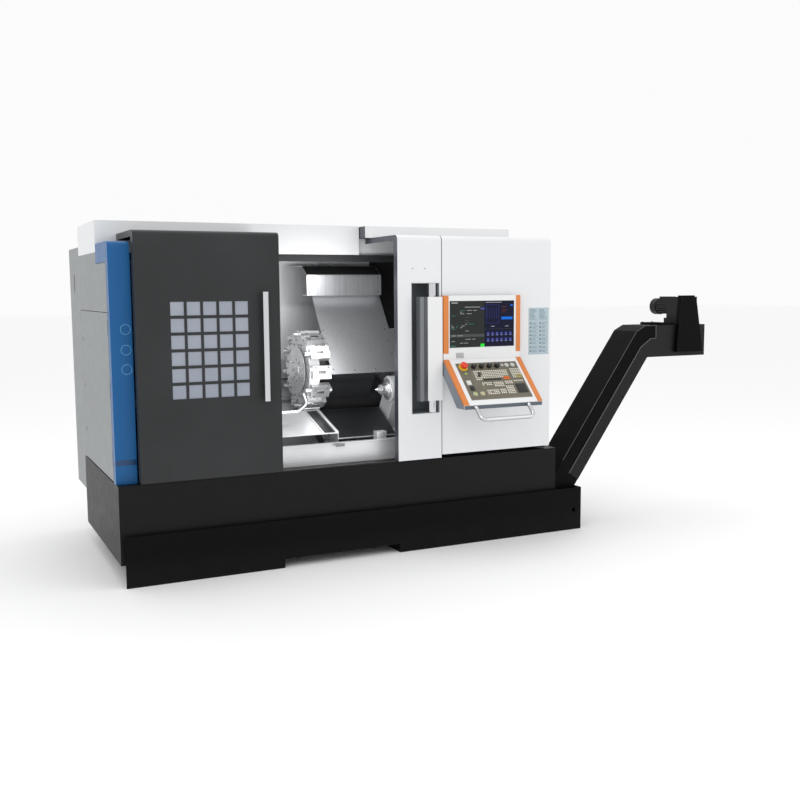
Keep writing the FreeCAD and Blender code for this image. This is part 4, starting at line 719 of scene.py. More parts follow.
cap_tree, given, make, link, close = tree_with("key_caps", size=(0.009, 0.007, 0.003), crown=0.8,
                                              facing=(0.0, 0.0, 1.0))
cap_foot = make("GeometryNodeMeshCube", Size=given["size"])
cap_size = make("ShaderNodeVectorMath", operation="SCALE")
link(given["size"], cap_size.inputs[0])
link(given["crown"], cap_size.inputs["Scale"])
cap_top = make("GeometryNodeMeshCube", Size=cap_size.outputs["Vector"])
cap_rise = make("ShaderNodeVectorMath", operation="MULTIPLY")
link(given["size"], cap_rise.inputs[0])
cap_rise.inputs[1].default_value = (0, 0, 0.28)
cap_lifted = make("GeometryNodeTransform", Geometry=cap_top.outputs["Mesh"],
                  Translation=cap_rise.outputs["Vector"])
cap_both = make("GeometryNodeJoinGeometry")
link(cap_foot.outputs["Mesh"], cap_both.inputs["Geometry"])
link(cap_lifted.outputs["Geometry"], cap_both.inputs["Geometry"])
cap_aim = make("FunctionNodeAlignRotationToVector", Vector=given["facing"])
cap_set = make("GeometryNodeInstanceOnPoints", Points=given["Geometry"],
               Instance=cap_both.outputs["Geometry"],
               Rotation=cap_aim.outputs["Rotation"])
close(cap_set.outputs["Instances"])


def key_field(left, top, columns, rows, pitch=(0.0125, 0.0115), skip=()):
    """Places of a block of keys on the console, by column and row."""
    return [keys_place @ Vector((left + pitch[0] * column, -top - pitch[1] * rank, 0.0025))
            for rank in range(rows) for column in range(columns) if (column, rank) not in skip]


def caps(name, places, colour, size=(0.0078, 0.0066, 0.0030)):
    """One mesh of key caps in one colour."""
    material = moulded(name + "_plastic", colour, 0.42)
    grown(name, places, cap_tree, {"size": size, "crown": 0.8, "facing": key_face}, material,
          "pendant")


gap_keys = {(c, r) for c in (2, 3) for r in (1, 2)} | {(1, 3), (2, 3)} | {(c, 5) for c in range(3, 17)} \
    | {(c, 4) for c in (14, 15, 16)}
caps("keys_beige", key_field(0.147, 0.092, 17, 6, skip=gap_keys) + key_field(0.380, 0.086, 5, 4)
     + key_field(0.380, 0.132, 2, 2) + key_field(0.372, 0.170, 5, 1)
     + key_field(0.170, 0.176, 5, 2, skip={(1, 1)}) + key_field(0.242, 0.176, 5, 3)
     + key_field(0.314, 0.172, 4, 2) + key_field(0.180, 0.228, 6, 3, skip={(2, 1)})
     + key_field(0.262, 0.226, 3, 3) + key_field(0.306, 0.206, 4, 5), (0.74, 0.71, 0.62))
caps("keys_yellow", key_field(0.405, 0.132, 3, 2) + key_field(0.351, 0.092, 1, 2), (0.62, 0.50, 0.16))
caps("keys_orange", key_field(0.320, 0.141, 3, 2), (0.72, 0.16, 0.02), size=(0.0115, 0.0080, 0.0030))
caps("keys_black", key_field(0.190, 0.153, 9, 1) + key_field(0.172, 0.106, 1, 3), (0.012, 0.012, 0.012),
     size=(0.0112, 0.0085, 0.0030))
blocks("console_touch_pad", [((0.365, -0.255, 0.0010), (0.428, -0.191, 0.0032)),
                             ((0.369, -0.251, 0.0030), (0.424, -0.205, 0.0036))],
       black_plastic, "pendant", place=keys_place)
rocker_white = moulded("rocker_white", (0.66, 0.65, 0.61), 0.35)
blocks("rocker_white", [((0.074, -0.184, 0.001), (0.100, -0.154, 0.0060))], rocker_white, "pendant",
       edge=0.0012, place=keys_place)
blocks("rocker_black", [((0.079, -0.222, 0.001), (0.105, -0.194, 0.0060))], black_plastic, "pendant",
       edge=0.0012, place=keys_place)
lamp_green = moulded("lamp_green", (0.24, 0.42, 0.10), 0.25, glow=0.15)
key_lamp = bmesh.new()
add_turned(key_lamp, [(0, 0.0075), (0.003, 0.0070), (0.005, 0.005), (0.0055, 0)],
           keys_place @ Vector((0.095, -0.104, 0.001)), key_face, steps=24)
finished("console_lamp", key_lamp, lamp_green, "pendant")
selectors = bmesh.new()
for across, size in ((0.342, 0.0085), (0.371, 0.0135), (0.409, 0.0135)):
    add_turned(selectors, [(0, size), (0.003, size), (0.0036, size * 0.88), (0.0030, size * 0.80),
                           (0.0058, size * 0.74), (0.0064, size * 0.60), (0.0064, 0)],
               keys_place @ Vector((across, -0.056, 0.001)), key_face, steps=36)
selector_silver = brushed("selector_silver", (0.66, 0.66, 0.64), 0.28, grain=(200, 200, 200), stain=0.02)
finished("console_selectors", selectors, selector_silver, "pendant")

# ---------------------------------------------------------------- emergency stop, knobs and buttons
# The emergency stop is a red mushroom over a yellow collar. The four override knobs are black, ribbed
# for grip, with a white pointer each.
stop_red = moulded("stop_red", (0.70, 0.045, 0.012), 0.36)
stop_yellow = moulded("stop_yellow", (0.80, 0.52, 0.02), 0.4)
dress(stop_red, "estop_button")
stop_centre = sum(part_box("estop_button"), Vector()) / 2
stop_flat = keys_place.inverted() @ stop_centre
collar = bmesh.new()
add_turned(collar, [(0, 0.0115), (0, 0.0255), (0.0030, 0.0255), (0.0042, 0.0240), (0.0042, 0.0115)],
           keys_place @ Vector((stop_flat.x, stop_flat.y, 0.0017)), key_face, steps=48)
finished("estop_collar", collar, stop_yellow, "pendant")
crown = bmesh.new()
add_turned(crown, [(0.0130, 0.0180), (0.0130, 0.0196), (0.0200, 0.0200), (0.0240, 0.0186), (0.0262, 0.0150),
                   (0.0266, 0.0080), (0.0262, 0)],
           keys_place @ Vector((stop_flat.x, stop_flat.y, 0)), key_face, steps=48)
finished("estop_crown", crown, stop_red, "estop")
dress(black_plastic, *[f"override_knob_{count}" for count in range(1, 5)])
dial_white = moulded("dial_white", (0.70, 0.70, 0.68), 0.5)
tick_ring, tick_half = 0.0182, 0.0006
for count in range(1, 5):
    knob_flat = keys_place.inverted() @ (sum(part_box(f"override_knob_{count}"), Vector()) / 2)
    centre = Vector((knob_flat.x, knob_flat.y, 0))
    ribs = bmesh.new()
    for rib in range(20):
        turn = Matrix.Translation(centre) @ Matrix.Rotation(math.radians(18 * rib), 4, "Z")
        add_block(ribs, (-0.0009, 0.0126, 0.0030), (0.0009, 0.0138, 0.0170), 0.0003, keys_place @ turn,
                  segments=1)
    add_block(ribs, (-0.0009, 0.0030, 0.0197), (0.0009, 0.0120, 0.0204), 0,
              keys_place @ Matrix.Translation(centre), 1)
    finished(f"knob_ribs_{count}", ribs, [black_plastic, dial_white], f"knob_{count}")
    ticks = [((centre.x + tick_ring * math.sin(math.radians(a)) - tick_half,
               centre.y + tick_ring * math.cos(math.radians(a)) - tick_half, 0.0016),
              (centre.x + tick_ring * math.sin(math.radians(a)) + tick_half,
               centre.y + tick_ring * math.cos(math.radians(a)) + tick_half, 0.0018))
             for a in range(-135, 136, 27)]
    blocks(f"knob_scale_{count}", ticks, plate_line, "pendant", edge=0, place=keys_place)
button_green = moulded("button_green", (0.40, 0.44, 0.20), 0.34)
button_cream = moulded("button_cream", (0.48, 0.43, 0.24), 0.34)
dress(button_green, "start_button")
dress(button_cream, "hold_button")
for name in ("start_button", "hold_button"):
    button_flat = keys_place.inverted() @ (sum(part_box(name), Vector()) / 2)
    bezel = bmesh.new()
    add_turned(bezel, [(0, 0.0113), (0, 0.0138), (0.0022, 0.0138), (0.0028, 0.0130), (0.0028, 0.0113)],
               keys_place @ Vector((button_flat.x, button_flat.y, 0.0010)), key_face, steps=36)
    finished(name + "_bezel", bezel, selector_silver, "pendant")

# ---------------------------------------------------------------- travelling cover
# Folded stainless sheets ride with the saddle. Small screws hold them at the folds, and a black rubber
# wiper lies over the sloping top of the upper box.
cover_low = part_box("saddle_cover")[0]
slope_foot, slope_head = Vector((0, -0.111, 0.946)), Vector((0, 0.195, 1.390))
slope_way = (slope_head - slope_foot).normalized()
slope_out = Vector((0, -slope_way.z, slope_way.y))
slope_screws = [Vector((x, 0, 0)) + slope_foot.lerp(slope_head, share) + slope_out * 0.0004
                for x in (0.032, 0.420) for share in (0.06, 0.22, 0.38, 0.54)]
slope_screws += [Vector((x, 0, 0)) + slope_foot.lerp(slope_head, 0.04) + slope_out * 0.0004
                 for x in (0.16, 0.29, 0.47, 0.50)]
screws("saddle_cover_screws", slope_screws, slope_out, 0.0042, "carriage")
lid_place = Matrix.Translation((0, 0.127, 1.506)) @ Matrix.Rotation(math.atan2(0.052, 0.083), 4, "X")
blocks("saddle_cover_wiper", [((cover_low.x + 0.004, 0.004, 0.0010), (0.430, 0.094, 0.0026))], belt_rubber,
       "carriage", place=lid_place)
screws("saddle_box_screws", [(x, 0.127, z) for x in (-0.020, 0.415) for z in (1.405, 1.490)], (0, -1, 0),
       0.0038, "carriage")

# ---------------------------------------------------------------- turret
# The disc carries twelve blocks, each clamped by four screws, with collet nuts on the boring stations.
# Its face has a bolt ring, a centre cap and a coolant plug for each station.
disc_low, disc_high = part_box("turret_disc")
turret_middle = Vector((disc_low.x, (disc_low.y + disc_high.y) / 2, (disc_low.z + disc_high.z) / 2))
bright_steel = brushed("bright_steel", (0.84, 0.845, 0.85), 0.26, grain=(9, 160, 160), depth=0.000006,
                       stain=0.02, streak=0.04, metal=0.8)
disc_steel = brushed("turret_face", (0.86, 0.865, 0.87), 0.38, grain=(160, 9, 160), depth=0.000006,
                     stain=0.02,
                     streak=0.03, metal=0.72)
dress(disc_steel, "turret_disc")
dress(bright_steel, "tool_holders", "live_centre", "tailstock_quill")
face_points = [turret_middle + Vector((-0.0004, r * math.cos(a), r * math.sin(a)))
               for r, total, turn in ((0.060, 8, 0), (0.150, 12, 15), (0.172, 12, 0))
               for a in (math.radians(turn + 360 / total * k) for k in range(total))]
screws("turret_face_screws", face_points, (-1, 0, 0), 0.0055, "turret")
hub = bmesh.new()
add_turned(hub, [(0, 0.034), (0.004, 0.034), (0.006, 0.031), (0.006, 0.012), (0.004, 0.011), (0.004, 0)],
           turret_middle, (-1, 0, 0), steps=48)
add_turned(hub, [(0, 0.1300), (0, 0.1330), (0.0012, 0.1325), (0.0012, 0.1305)], turret_middle,
           (-1, 0, 0), steps=72)
finished("turret_hub_cap", hub, bright_steel, "turret")
block_reach = 0.223
nuts, clamps = bmesh.new(), bmesh.new()
for station in range(12):
    angle = math.radians(30 * station)
    outward = Vector((0, math.cos(angle), math.sin(angle)))
    beside = Vector((0, -math.sin(angle), math.cos(angle)))
    turned_to = Matrix((Vector((1, 0, 0)), beside, outward)).transposed().to_4x4()
    where = Matrix.Translation(Vector((0, turret_middle.y, turret_middle.z))) @ turned_to
    for x in (-0.102, -0.028):
        for across in (-0.027, 0.027):
            add_turned(clamps, [(0, 0.0050), (0.0035, 0.0050), (0.0042, 0.0043), (0.0042, 0.0026),
                                (0.0022, 0.0024), (0.0022, 0)],
                       where @ Vector((x, across, block_reach - 0.0002)), outward, steps=12)
    add_block(clamps, (-0.086, -0.008, block_reach - 0.001), (-0.044, 0.008, block_reach + 0.0030),
              0.001, where)
    if station % 2:
        spot = where @ Vector((-0.0105, 0, 0.184 + 0.0195))
        add_turned(nuts, [(0, 0.0122), (0, 0.0175), (0.0110, 0.0175), (0.0130, 0.0160), (0.0160, 0.0150),
                          (0.0160, 0.0122)],
                   spot, (1, 0, 0), steps=12)
finished("turret_block_screws", clamps, screw_steel, "turret")
finished("turret_collet_nuts", nuts, bright_steel, "turret")

# ---------------------------------------------------------------- chuck, jaws and spindle
# Three hard jaws, with two screws each, slide in a turned body with face screws and narrow rings round
# its rim. The spindle's belt pulley has five rims.
chuck_low, chuck_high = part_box("chuck_body")
axis_y, axis_z = (chuck_low.y + chuck_high.y) / 2, (chuck_low.z + chuck_high.z) / 2
face_screws = [(chuck_high.x + 0.0004, axis_y + 0.095 * math.cos(a), axis_z + 0.095 * math.sin(a))
               for a in (math.radians(30 + 60 * k) for k in range(6))]
screws("chuck_face_screws", face_screws, (1, 0, 0), 0.0065, "spindle_body")
rim = bmesh.new()
for along in (0.012, 0.020, 0.064):
    add_turned(rim, [(0, 0.1246), (0, 0.1253), (0.0020, 0.1253), (0.0020, 0.1246)],
               (chuck_low.x + along, axis_y, axis_z), (1, 0, 0), steps=96)
finished("chuck_rim_rings", rim, bright_steel, "spindle_body")
for count, turn in ((1, 120), (2, 240), (3, 0)):
    jaw_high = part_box(f"chuck_jaw_{count}")[1]
    way = Vector((0, math.cos(math.radians(turn)), math.sin(math.radians(turn))))
    screws(f"jaw_screws_{count}", [Vector((jaw_high.x + 0.0003, axis_y, axis_z)) + way * reach
                                   for reach in (0.062, 0.090)], (1, 0, 0), 0.0060, f"jaw_{count}")
belt_grooves = bmesh.new()
for rise in range(5):
    add_turned(belt_grooves, [(0, 0.0996), (0.001, 0.1004), (0.003, 0.1004), (0.004, 0.0996)],
               (-1.078 + 0.0150 * rise, axis_y, axis_z), (1, 0, 0), steps=72)
finished("spindle_pulley_rims", belt_grooves, machined, "spindle_body")

# ---------------------------------------------------------------- slides
# Low-headed screws hold the hardened rails every 60 mm. The ball screw's rolled thread is a helix
# of 10 mm lead.
lean = math.radians(30)


def on_slant(x, along, square):
    """Point given along and square to the slant bed from the spindle axis, in metres."""
    return Vector((x, axis_y + along * math.cos(lean) - square * math.sin(lean),
                   axis_z + along * math.sin(lean) + square * math.cos(lean)))


slant_out = Vector((0, -math.sin(lean), math.cos(lean)))
rail_step = 0.060
screws("rail_screws", [on_slant(-0.560 + rail_step * k, along, -0.2549)
                       for k in range(27) for along in (0.165, 0.485)],
       slant_out, 0.0058, height=0.0006)
screws("tail_rail_screws", [on_slant(0.370 + rail_step * k, along, -0.2699)
                            for k in range(11) for along in (-0.105, 0.070)],
       slant_out, 0.0045, height=0.0006)
thread_tree, given, make, link, close = tree_with("ball_thread", turns=164.0, radius=0.0141, lead=0.010,
                                                 wire=0.0016)
thread_length = make("ShaderNodeMath", operation="MULTIPLY")
link(given["turns"], thread_length.inputs[0])
link(given["lead"], thread_length.inputs[1])
spiral = make("GeometryNodeCurveSpiral", Resolution=18, Rotations=given["turns"],
              Start_Radius=given["radius"],
              End_Radius=given["radius"], Height=thread_length.outputs["Value"])
thread_wire = make("GeometryNodeCurvePrimitiveCircle", Radius=given["wire"], Resolution=5)
thread = make("GeometryNodeCurveToMesh", Curve=spiral.outputs["Curve"])
link(thread_wire.outputs["Curve"], thread.inputs["Profile Curve"])
thread_turn = make("FunctionNodeAlignRotationToVector", Vector=(1.0, 0.0, 0.0))
thread_set = make("GeometryNodeInstanceOnPoints", Points=given["Geometry"], Instance=thread.outputs["Mesh"],
                  Rotation=thread_turn.outputs["Rotation"])
close(thread_set.outputs["Instances"])
grown("ball_thread", [on_slant(-0.588, 0.325, -0.272)], thread_tree, {"turns": 164.0, "wire": 0.0016}, ground,
      "ballscrew", angle=80)

# ---------------------------------------------------------------- tailstock
# The quill leaves the tailstock through a front ring held by six screws, and an eight-sided nut draws
# the live centre off.
tail_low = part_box("tailstock_body")[0]
ring = bmesh.new()
add_turned(ring, [(0, 0.0385), (0, 0.062), (0.008, 0.062), (0.010, 0.060), (0.010, 0.0385)],
           (tail_low.x + 0.0002, axis_y, axis_z), (-1, 0, 0), steps=64)
finished("tailstock_ring", ring, bright_steel, "tailstock")
screws("tailstock_ring_screws",
       [(tail_low.x - 0.0100, axis_y + 0.051 * math.cos(a), axis_z + 0.051 * math.sin(a))
        for a in (math.radians(60 * k) for k in range(6))], (-1, 0, 0), 0.0042, "tailstock")
tip_nut = bmesh.new()
add_turned(tip_nut, [(0, 0.0255), (0, 0.031), (0.007, 0.031), (0.009, 0.0295), (0.009, 0.0255)],
           (0.300, axis_y, axis_z), (1, 0, 0), steps=8)
finished("live_centre_nut", tip_nut, bright_steel, "centre")

# ---------------------------------------------------------------- work area sheets
# The chip sheet and walls are screwed at their folds, and the sill carries a latch. The way cover ends
# in a bright lip, with two guide strips beside it.
chute_way = Vector((0, 0.305, 0.094)).normalized()
chute_out = Vector((0, -chute_way.z, chute_way.y))
chute_points = [Vector((x, -0.388, 0.655)) + chute_way * run + chute_out * 0.0003
                for x in (-0.460, -0.080) for run in (0.03, 0.15, 0.27)]
screws("chip_sheet_screws", chute_points, chute_out, 0.0042)
slant_place = Matrix.Translation((0, axis_y, axis_z)) @ Matrix.Rotation(lean, 4, "X")
blocks("way_cover_lip", [((-0.054, -0.2315, -0.1585), (0.338, -0.2265, -0.1505))], stainless, "root",
       place=slant_place)
blocks("way_guide_strips", [((x, -0.222, -0.164), (x + 0.010, 0.030, -0.152)) for x in (-0.092, -0.070)],
       bright_steel, "root", edge=0.001, place=slant_place)
sill_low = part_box("chip_chute")[0]
blocks("sill_latch", [((-0.095, sill_low.y - 0.0006, 0.586), (-0.045, sill_low.y + 0.0030, 0.602)),
                      ((-0.083, sill_low.y - 0.0040, 0.589), (-0.057, sill_low.y - 0.0006, 0.599))],
       screw_steel, "root")
wall_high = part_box("headstock_guard")[1]
screws("guard_wall_screws", [(wall_high.x + 0.0003, y, z) for y in (-0.38, -0.10, 0.18, 0.42)
                             for z in (1.10, 1.33, 1.55)], (1, 0, 0), 0.0042)
back_low, back_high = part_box("back_wall")
# A dark sheet on the back wall, from x = 0.5 to its right end, stands in for the shade in the work area
# behind the travelling cover: painted shade.
blocks("shade_sheet_right", [((0.50, back_low.y - 0.0016, 0.90),
                           (back_high.x - 0.002, back_low.y - 0.0002, 1.612))],
       slide_paint, "root")
blocks("chip_block", [((0.182, -0.352, 0.494), (0.242, -0.300, 0.640)),
                      ((0.150, -0.338, 0.494), (0.182, -0.310, 0.590))],
       stainless, "root", edge=0.003)
# Between the two raised stainless strips lies a flat strip in the dark sheet finish, which is painted shade
# for the recess there.
sheet_place = Matrix.Translation((0, -0.388, 0.655)) @ Matrix.Rotation(math.atan2(0.094, 0.305), 4, "X")
blocks("chip_sheet_strips", [((-0.138, 0.010, 0.0002), (-0.078, 0.300, 0.0010), 1),
                             ((-0.078, 0.004, 0.0002), (-0.0615, 0.312, 0.0080), 0),
                             ((-0.152, 0.004, 0.0002), (-0.140, 0.312, 0.0040), 0)],
       [stainless, dark_sheet], "root", edge=0.0008, place=sheet_place)
seams = [((x, back_low.y - 0.0022, back_low.z + 0.01), (x + 0.030, back_low.y - 0.0002, back_high.z - 0.005))
         for x in (-0.30, 0.15)]
blocks("back_wall_seams", seams, wall_steel, "root")
collar_ring = bmesh.new()
add_turned(collar_ring, [(0, 0.096), (0, 0.112), (0.0025, 0.112), (0.0025, 0.096)],
           (wall_high.x, axis_y, axis_z), (1, 0, 0), steps=72)
finished("guard_wall_ring", collar_ring, stainless, "root")
pipe_low, pipe_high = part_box("coolant_pipe")
fitting = bmesh.new()
pipe_axis = Vector((pipe_low.x, (pipe_low.y + pipe_high.y) / 2, 0.769))
add_turned(fitting, [(0.0005, 0.0093), (0.0005, 0.020), (0.004, 0.020), (0.004, 0.0155), (0.016, 0.0155),
                     (0.017, 0.0093)], pipe_axis, (1, 0, 0), steps=6)
finished("coolant_fitting", fitting, pipe_steel, "root")

# ---------------------------------------------------------------- left end and cabinet
# The service door has quarter-turn locks and flat black hinges. The cabinet has a louvred side slot, a
# louvred door with flush locks, and barrel hinges. The back, right end and roof are screwed sheet.
louvre_tree, given, make, link, close = tree_with("louvres", size=(0.1, 0.01, 0.002), turn=(0.6, 0.0, 0.0))
slat = make("GeometryNodeMeshCube", Size=given["size"])
slat_set = make("GeometryNodeInstanceOnPoints", Points=given["Geometry"], Instance=slat.outputs["Mesh"])
slat_turn = make("FunctionNodeEulerToRotation", Euler=given["turn"])
link(slat_turn.outputs["Rotation"], slat_set.inputs["Rotation"])
close(slat_set.outputs["Instances"])
side_low, side_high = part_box("left_service_door")
locks = bmesh.new()
for level in (0.66, 0.91, 1.16):
    add_turned(locks, [(0, 0.0130), (0.0010, 0.0130), (0.0016, 0.0115), (0.0010, 0.0100), (0.0010, 0)],
               (side_low.x, side_high.y - 0.045, level), (-1, 0, 0), steps=28)
    add_block(locks, (side_low.x - 0.0018, side_high.y - 0.0462, level - 0.007),
              (side_low.x - 0.0005, side_high.y - 0.0438, level + 0.007), 0.0003)
finished("service_door_locks", locks, screw_steel, "service_door")
blocks("service_door_hinges", [((side_low.x - 0.0006, side_low.y - 0.0030, level),
                                (side_low.x + 0.006, side_low.y + 0.0035, level + 0.075))
                               for level in (0.575, 0.905, 1.205)], black_plastic, "root")
cabinet_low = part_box("electrical_cabinet")[0]
back_door_low, back_door_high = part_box("cabinet_door")
slot_y = 0.659
blocks("cabinet_slot_back", [((cabinet_low.x - 0.0004, slot_y - 0.018, 1.415),
                              (cabinet_low.x + 0.001, slot_y + 0.018, 1.514))],
       black_plastic, "root")
grown("cabinet_slot_louvres", [(cabinet_low.x - 0.0008, slot_y, 1.421 + 0.0124 * k) for k in range(8)],
      louvre_tree,
      {"size": (0.0016, 0.034, 0.004), "turn": (0.0, 0.5, 0.0)}, grey_coat, "root")
back_face = back_door_high.y
vents = [((left, back_face - 0.0008, low), (left + 0.30, back_face + 0.0004, low + 0.17))
         for left, low in ((-1.12, 0.40), (-0.70, 0.40), (-0.70, 1.38))]
blocks("cabinet_vent_backs", vents, black_plastic, "cabinet_door_body")
grown("cabinet_vent_louvres", [(low[0] + 0.15, back_face + 0.0008, low[2] + 0.0085 + 0.0170 * k)
                               for low, _ in vents for k in range(10)],
      louvre_tree, {"size": (0.30, 0.0016, 0.011), "turn": (0.25, 0.0, 0.0)}, grey_coat,
      "cabinet_door_body")
lock_x = back_door_high.x - 0.050
blocks("cabinet_door_locks", [((lock_x - 0.014, back_face - 0.0005, level),
                               (lock_x + 0.014, back_face + 0.0018, level + 0.130))
                              for level in (0.60, 1.22)]
       + [((lock_x - 0.009, back_face + 0.0015, level + 0.020),
           (lock_x + 0.009, back_face + 0.0032, level + 0.122))
          for level in (0.60, 1.22)], black_plastic, "cabinet_door_body", edge=0.0012)
barrels = bmesh.new()
for level in (0.42, 0.94, 1.46):
    add_turned(barrels, [(0, 0), (0, 0.0055), (0.026, 0.0055), (0.0262, 0.0048), (0.0268, 0.0048),
                         (0.027, 0.0055), (0.053, 0.0055), (0.053, 0)],
               (cabinet_low.x + 0.0058, back_door_low.y + 0.001, level), (0, 0, 1), steps=20)
finished("cabinet_hinges", barrels, screw_steel, "root")
plain_back_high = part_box("back_cover")[1]
back_points = [(x, plain_back_high.y + 0.0002, z) for x in (-0.225, 0.25, 0.70, 1.172)
               for z in (0.53, 0.90, 1.27, 1.64)]
screws("back_cover_screws", back_points, (0, 1, 0), 0.0050, height=0.003)
blocks("back_cover_vent_back", [((0.28, plain_back_high.y - 0.0008, 1.32),
                                 (0.68, plain_back_high.y + 0.0004, 1.52))],
       black_plastic, "root")
grown("back_cover_louvres", [(0.48, plain_back_high.y + 0.001, 1.330 + 0.0180 * k) for k in range(11)],
      louvre_tree,
      {"size": (0.40, 0.0016, 0.012), "turn": (0.25, 0.0, 0.0)}, grey_coat, "root")
end_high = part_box("right_end_cover")[1]
screws("right_end_screws", [(end_high.x, y, z) for y in (-0.45, -0.15, 0.15, 0.43)
                            for z in (0.53, 1.08, 1.63)], (1, 0, 0), 0.0050)
roof_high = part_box("roof_covers")[1]
screws("roof_screws", [(x, y, roof_high.z - 0.0006) for x in (-1.20, -0.75, -0.30, 0.14)
                       for y in (-0.09, 0.17, 0.43)]
       + [(x, y, roof_high.z - 0.0042) for x in (0.24, 0.70, 1.09) for y in (-0.17, 0.43)],
       (0, 0, 1), 0.0055, height=0.0030)

# ---------------------------------------------------------------- chip conveyor
# The elevator case has a stepped plate on each side, worn bright along its folds. Inside lies a hinged
# steel belt of cleated slats, which shows at the pick-up and the mouth.
lift_low, lift_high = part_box("conveyor_casing")
climb = math.radians(54.7)
deep = 0.161
foot_x = 1.316
lid_thick = 0.014
over_z = lift_high.z - lid_thick
under_z = 0.997
climb_way = Vector((math.cos(climb), 0, math.sin(climb)))
climb_out = Vector((-math.sin(climb), 0, math.cos(climb)))
climb_foot = Vector((foot_x, 0, lift_low.z))
climb_length = (under_z - lift_low.z) / math.sin(climb)
climb_turn = Matrix((climb_way, Vector((0, 1, 0)), climb_out)).transposed()
climb_place = Matrix.Translation(climb_foot) @ climb_turn.to_4x4()
flange_coat = sprayed_coat("flange_black", (0.0048, 0.0050, 0.0053), 0.44, peel=0.0001, peel_scale=600,
                           shine=0.25)
edge_worn = sprayed_coat("worn_edge", (0.16, 0.162, 0.165), 0.35, peel=0.0001)
step_height, plate_left, step_top, plate_lift = 0.076, 2.003, 1.110, 0.003


def on_climb(along, square):
    """Place in X and Z along the climbing run and square to it."""
    spot = climb_place @ Vector((along, 0, square))
    return spot.x, spot.z


def ribbon(path, shift=(-0.0017, 0.0017)):
    """Narrow outline beside a path, for a worn folded edge."""
    return path + [(x + shift[0], z + shift[1]) for x, z in reversed(path)]


step_x = on_climb((step_top - lift_low.z - step_height * math.cos(climb)) / math.sin(climb), step_height)[0]
step_path = [on_climb(0.20, step_height), (step_x - 0.035, step_top - 0.050), (step_x + 0.040, step_top),
             (plate_left, step_top), (plate_left, over_z)]
bend_z, bend_run = over_z - 0.033, 0.066
bend_x = on_climb((bend_z - lift_low.z - deep * math.cos(climb)) / math.sin(climb), deep)[0]
below_edge = 0.0018
top_path = [on_climb(0.24, deep - below_edge), (bend_x + below_edge, bend_z - below_edge),
            (bend_x + bend_run, over_z - below_edge), (plate_left, over_z - below_edge)]
plate_outline = [on_climb(0.20, 0), (foot_x + climb_length * math.cos(climb), under_z),
                 (lift_high.x, under_z), (lift_high.x, over_z)] + step_path[::-1]
for side, y, out in (("front", lift_low.y, -1), ("back", lift_high.y, 1)):
    side_plate = bmesh.new()
    add_plate(side_plate, plate_outline, 1, y, y + plate_lift * out)
    add_plate(side_plate, ribbon(step_path), 1, y, y + (plate_lift + 0.0003) * out, 1)
    add_plate(side_plate, ribbon(top_path, (-0.0012, 0.0014)), 1, y, y + 0.0008 * out, 1)
    bmesh.ops.recalc_face_normals(side_plate, faces=side_plate.faces[:])
    finished(f"conveyor_side_plate_{side}", side_plate, [flange_coat, edge_worn], "root")
    points = [climb_place @ Vector((0.32 + 0.115 * k, y + plate_lift * out, 0.012)) for k in range(6)]
    screws(f"conveyor_plate_screws_{side}", points, (0, out, 0), 0.0042, finish=flange_coat)
slats = bmesh.new()
belt_y = (lift_low.y + 0.012, lift_high.y - 0.012)
pitch = 0.063
for layer in (0.030, deep - 0.034):
    for k in range(int((climb_length - 0.10) / pitch)):
        at = 0.08 + pitch * k
        add_block(slats, (at, belt_y[0], layer), (at + pitch - 0.006, belt_y[1], layer + 0.003), 0,
                  climb_place)
        if k % 5 == 0:
            add_block(slats, (at, belt_y[0], layer + 0.003), (at + 0.003, belt_y[1], layer + 0.028), 0,
                      climb_place)
for layer in (lift_low.z + 0.020, lift_low.z + 0.125):
    for k in range(int((foot_x - lift_low.x - 0.16) / pitch)):
        at = lift_low.x + 0.03 + pitch * k
        add_block(slats, (at, belt_y[0], layer), (at + pitch - 0.006, belt_y[1], layer + 0.003), 0)
        if k % 5 == 0:
            add_block(slats, (at, belt_y[0], layer + 0.003), (at + 0.003, belt_y[1], layer + 0.028), 0)
finished("conveyor_belt_slats", slats, machined, "root")
screws("conveyor_lid_screws", [(x, y, lift_high.z) for x in (2.060, 2.135)
                               for y in (lift_low.y + 0.012, lift_high.y - 0.022)],
       (0, 0, 1), 0.0048, finish=flange_coat)
guard_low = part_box("chain_guard")[0]
guard_screws = ((2.160, 1.040), (2.340, 1.040), (2.178, 1.350), (2.268, 1.355), (2.312, 1.190),
                (2.166, 1.190))
screws("chain_guard_screws", [(x, guard_low.y, z) for x, z in guard_screws],
       (0, -1, 0), 0.0042, finish=flange_coat)
motor_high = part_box("conveyor_motor")[1]
motor_x = (2.212 + 2.328) / 2
fins = bmesh.new()
for fin in range(20):
    place = Matrix.Translation((motor_x, -0.300, 1.300)) @ Matrix.Rotation(math.radians(18 * fin), 4, "Y")
    if fin not in (4, 5, 6):
        add_block(fins, (0.0475, -0.034, -0.0012), (0.0535, 0.070, 0.0012), 0.0004, place, segments=1)
finished("gearmotor_fins", fins, motor_paint, "root")
cowl = bmesh.new()
for radius in (0.014, 0.024, 0.034, 0.044):
    add_turned(cowl, [(0, radius - 0.0014), (0, radius + 0.0014), (0.0014, radius + 0.0014),
                      (0.0014, radius - 0.0014)],
               (motor_x, motor_high.y - 0.0004, 1.300), (0, 1, 0), steps=32)
finished("gearmotor_grille", cowl, flange_coat, "root")
blocks("gearmotor_box_lid", [((motor_x - 0.036, -0.320, 1.3595), (motor_x + 0.036, -0.246, 1.3635))],
       motor_paint, "root", edge=0.0012)

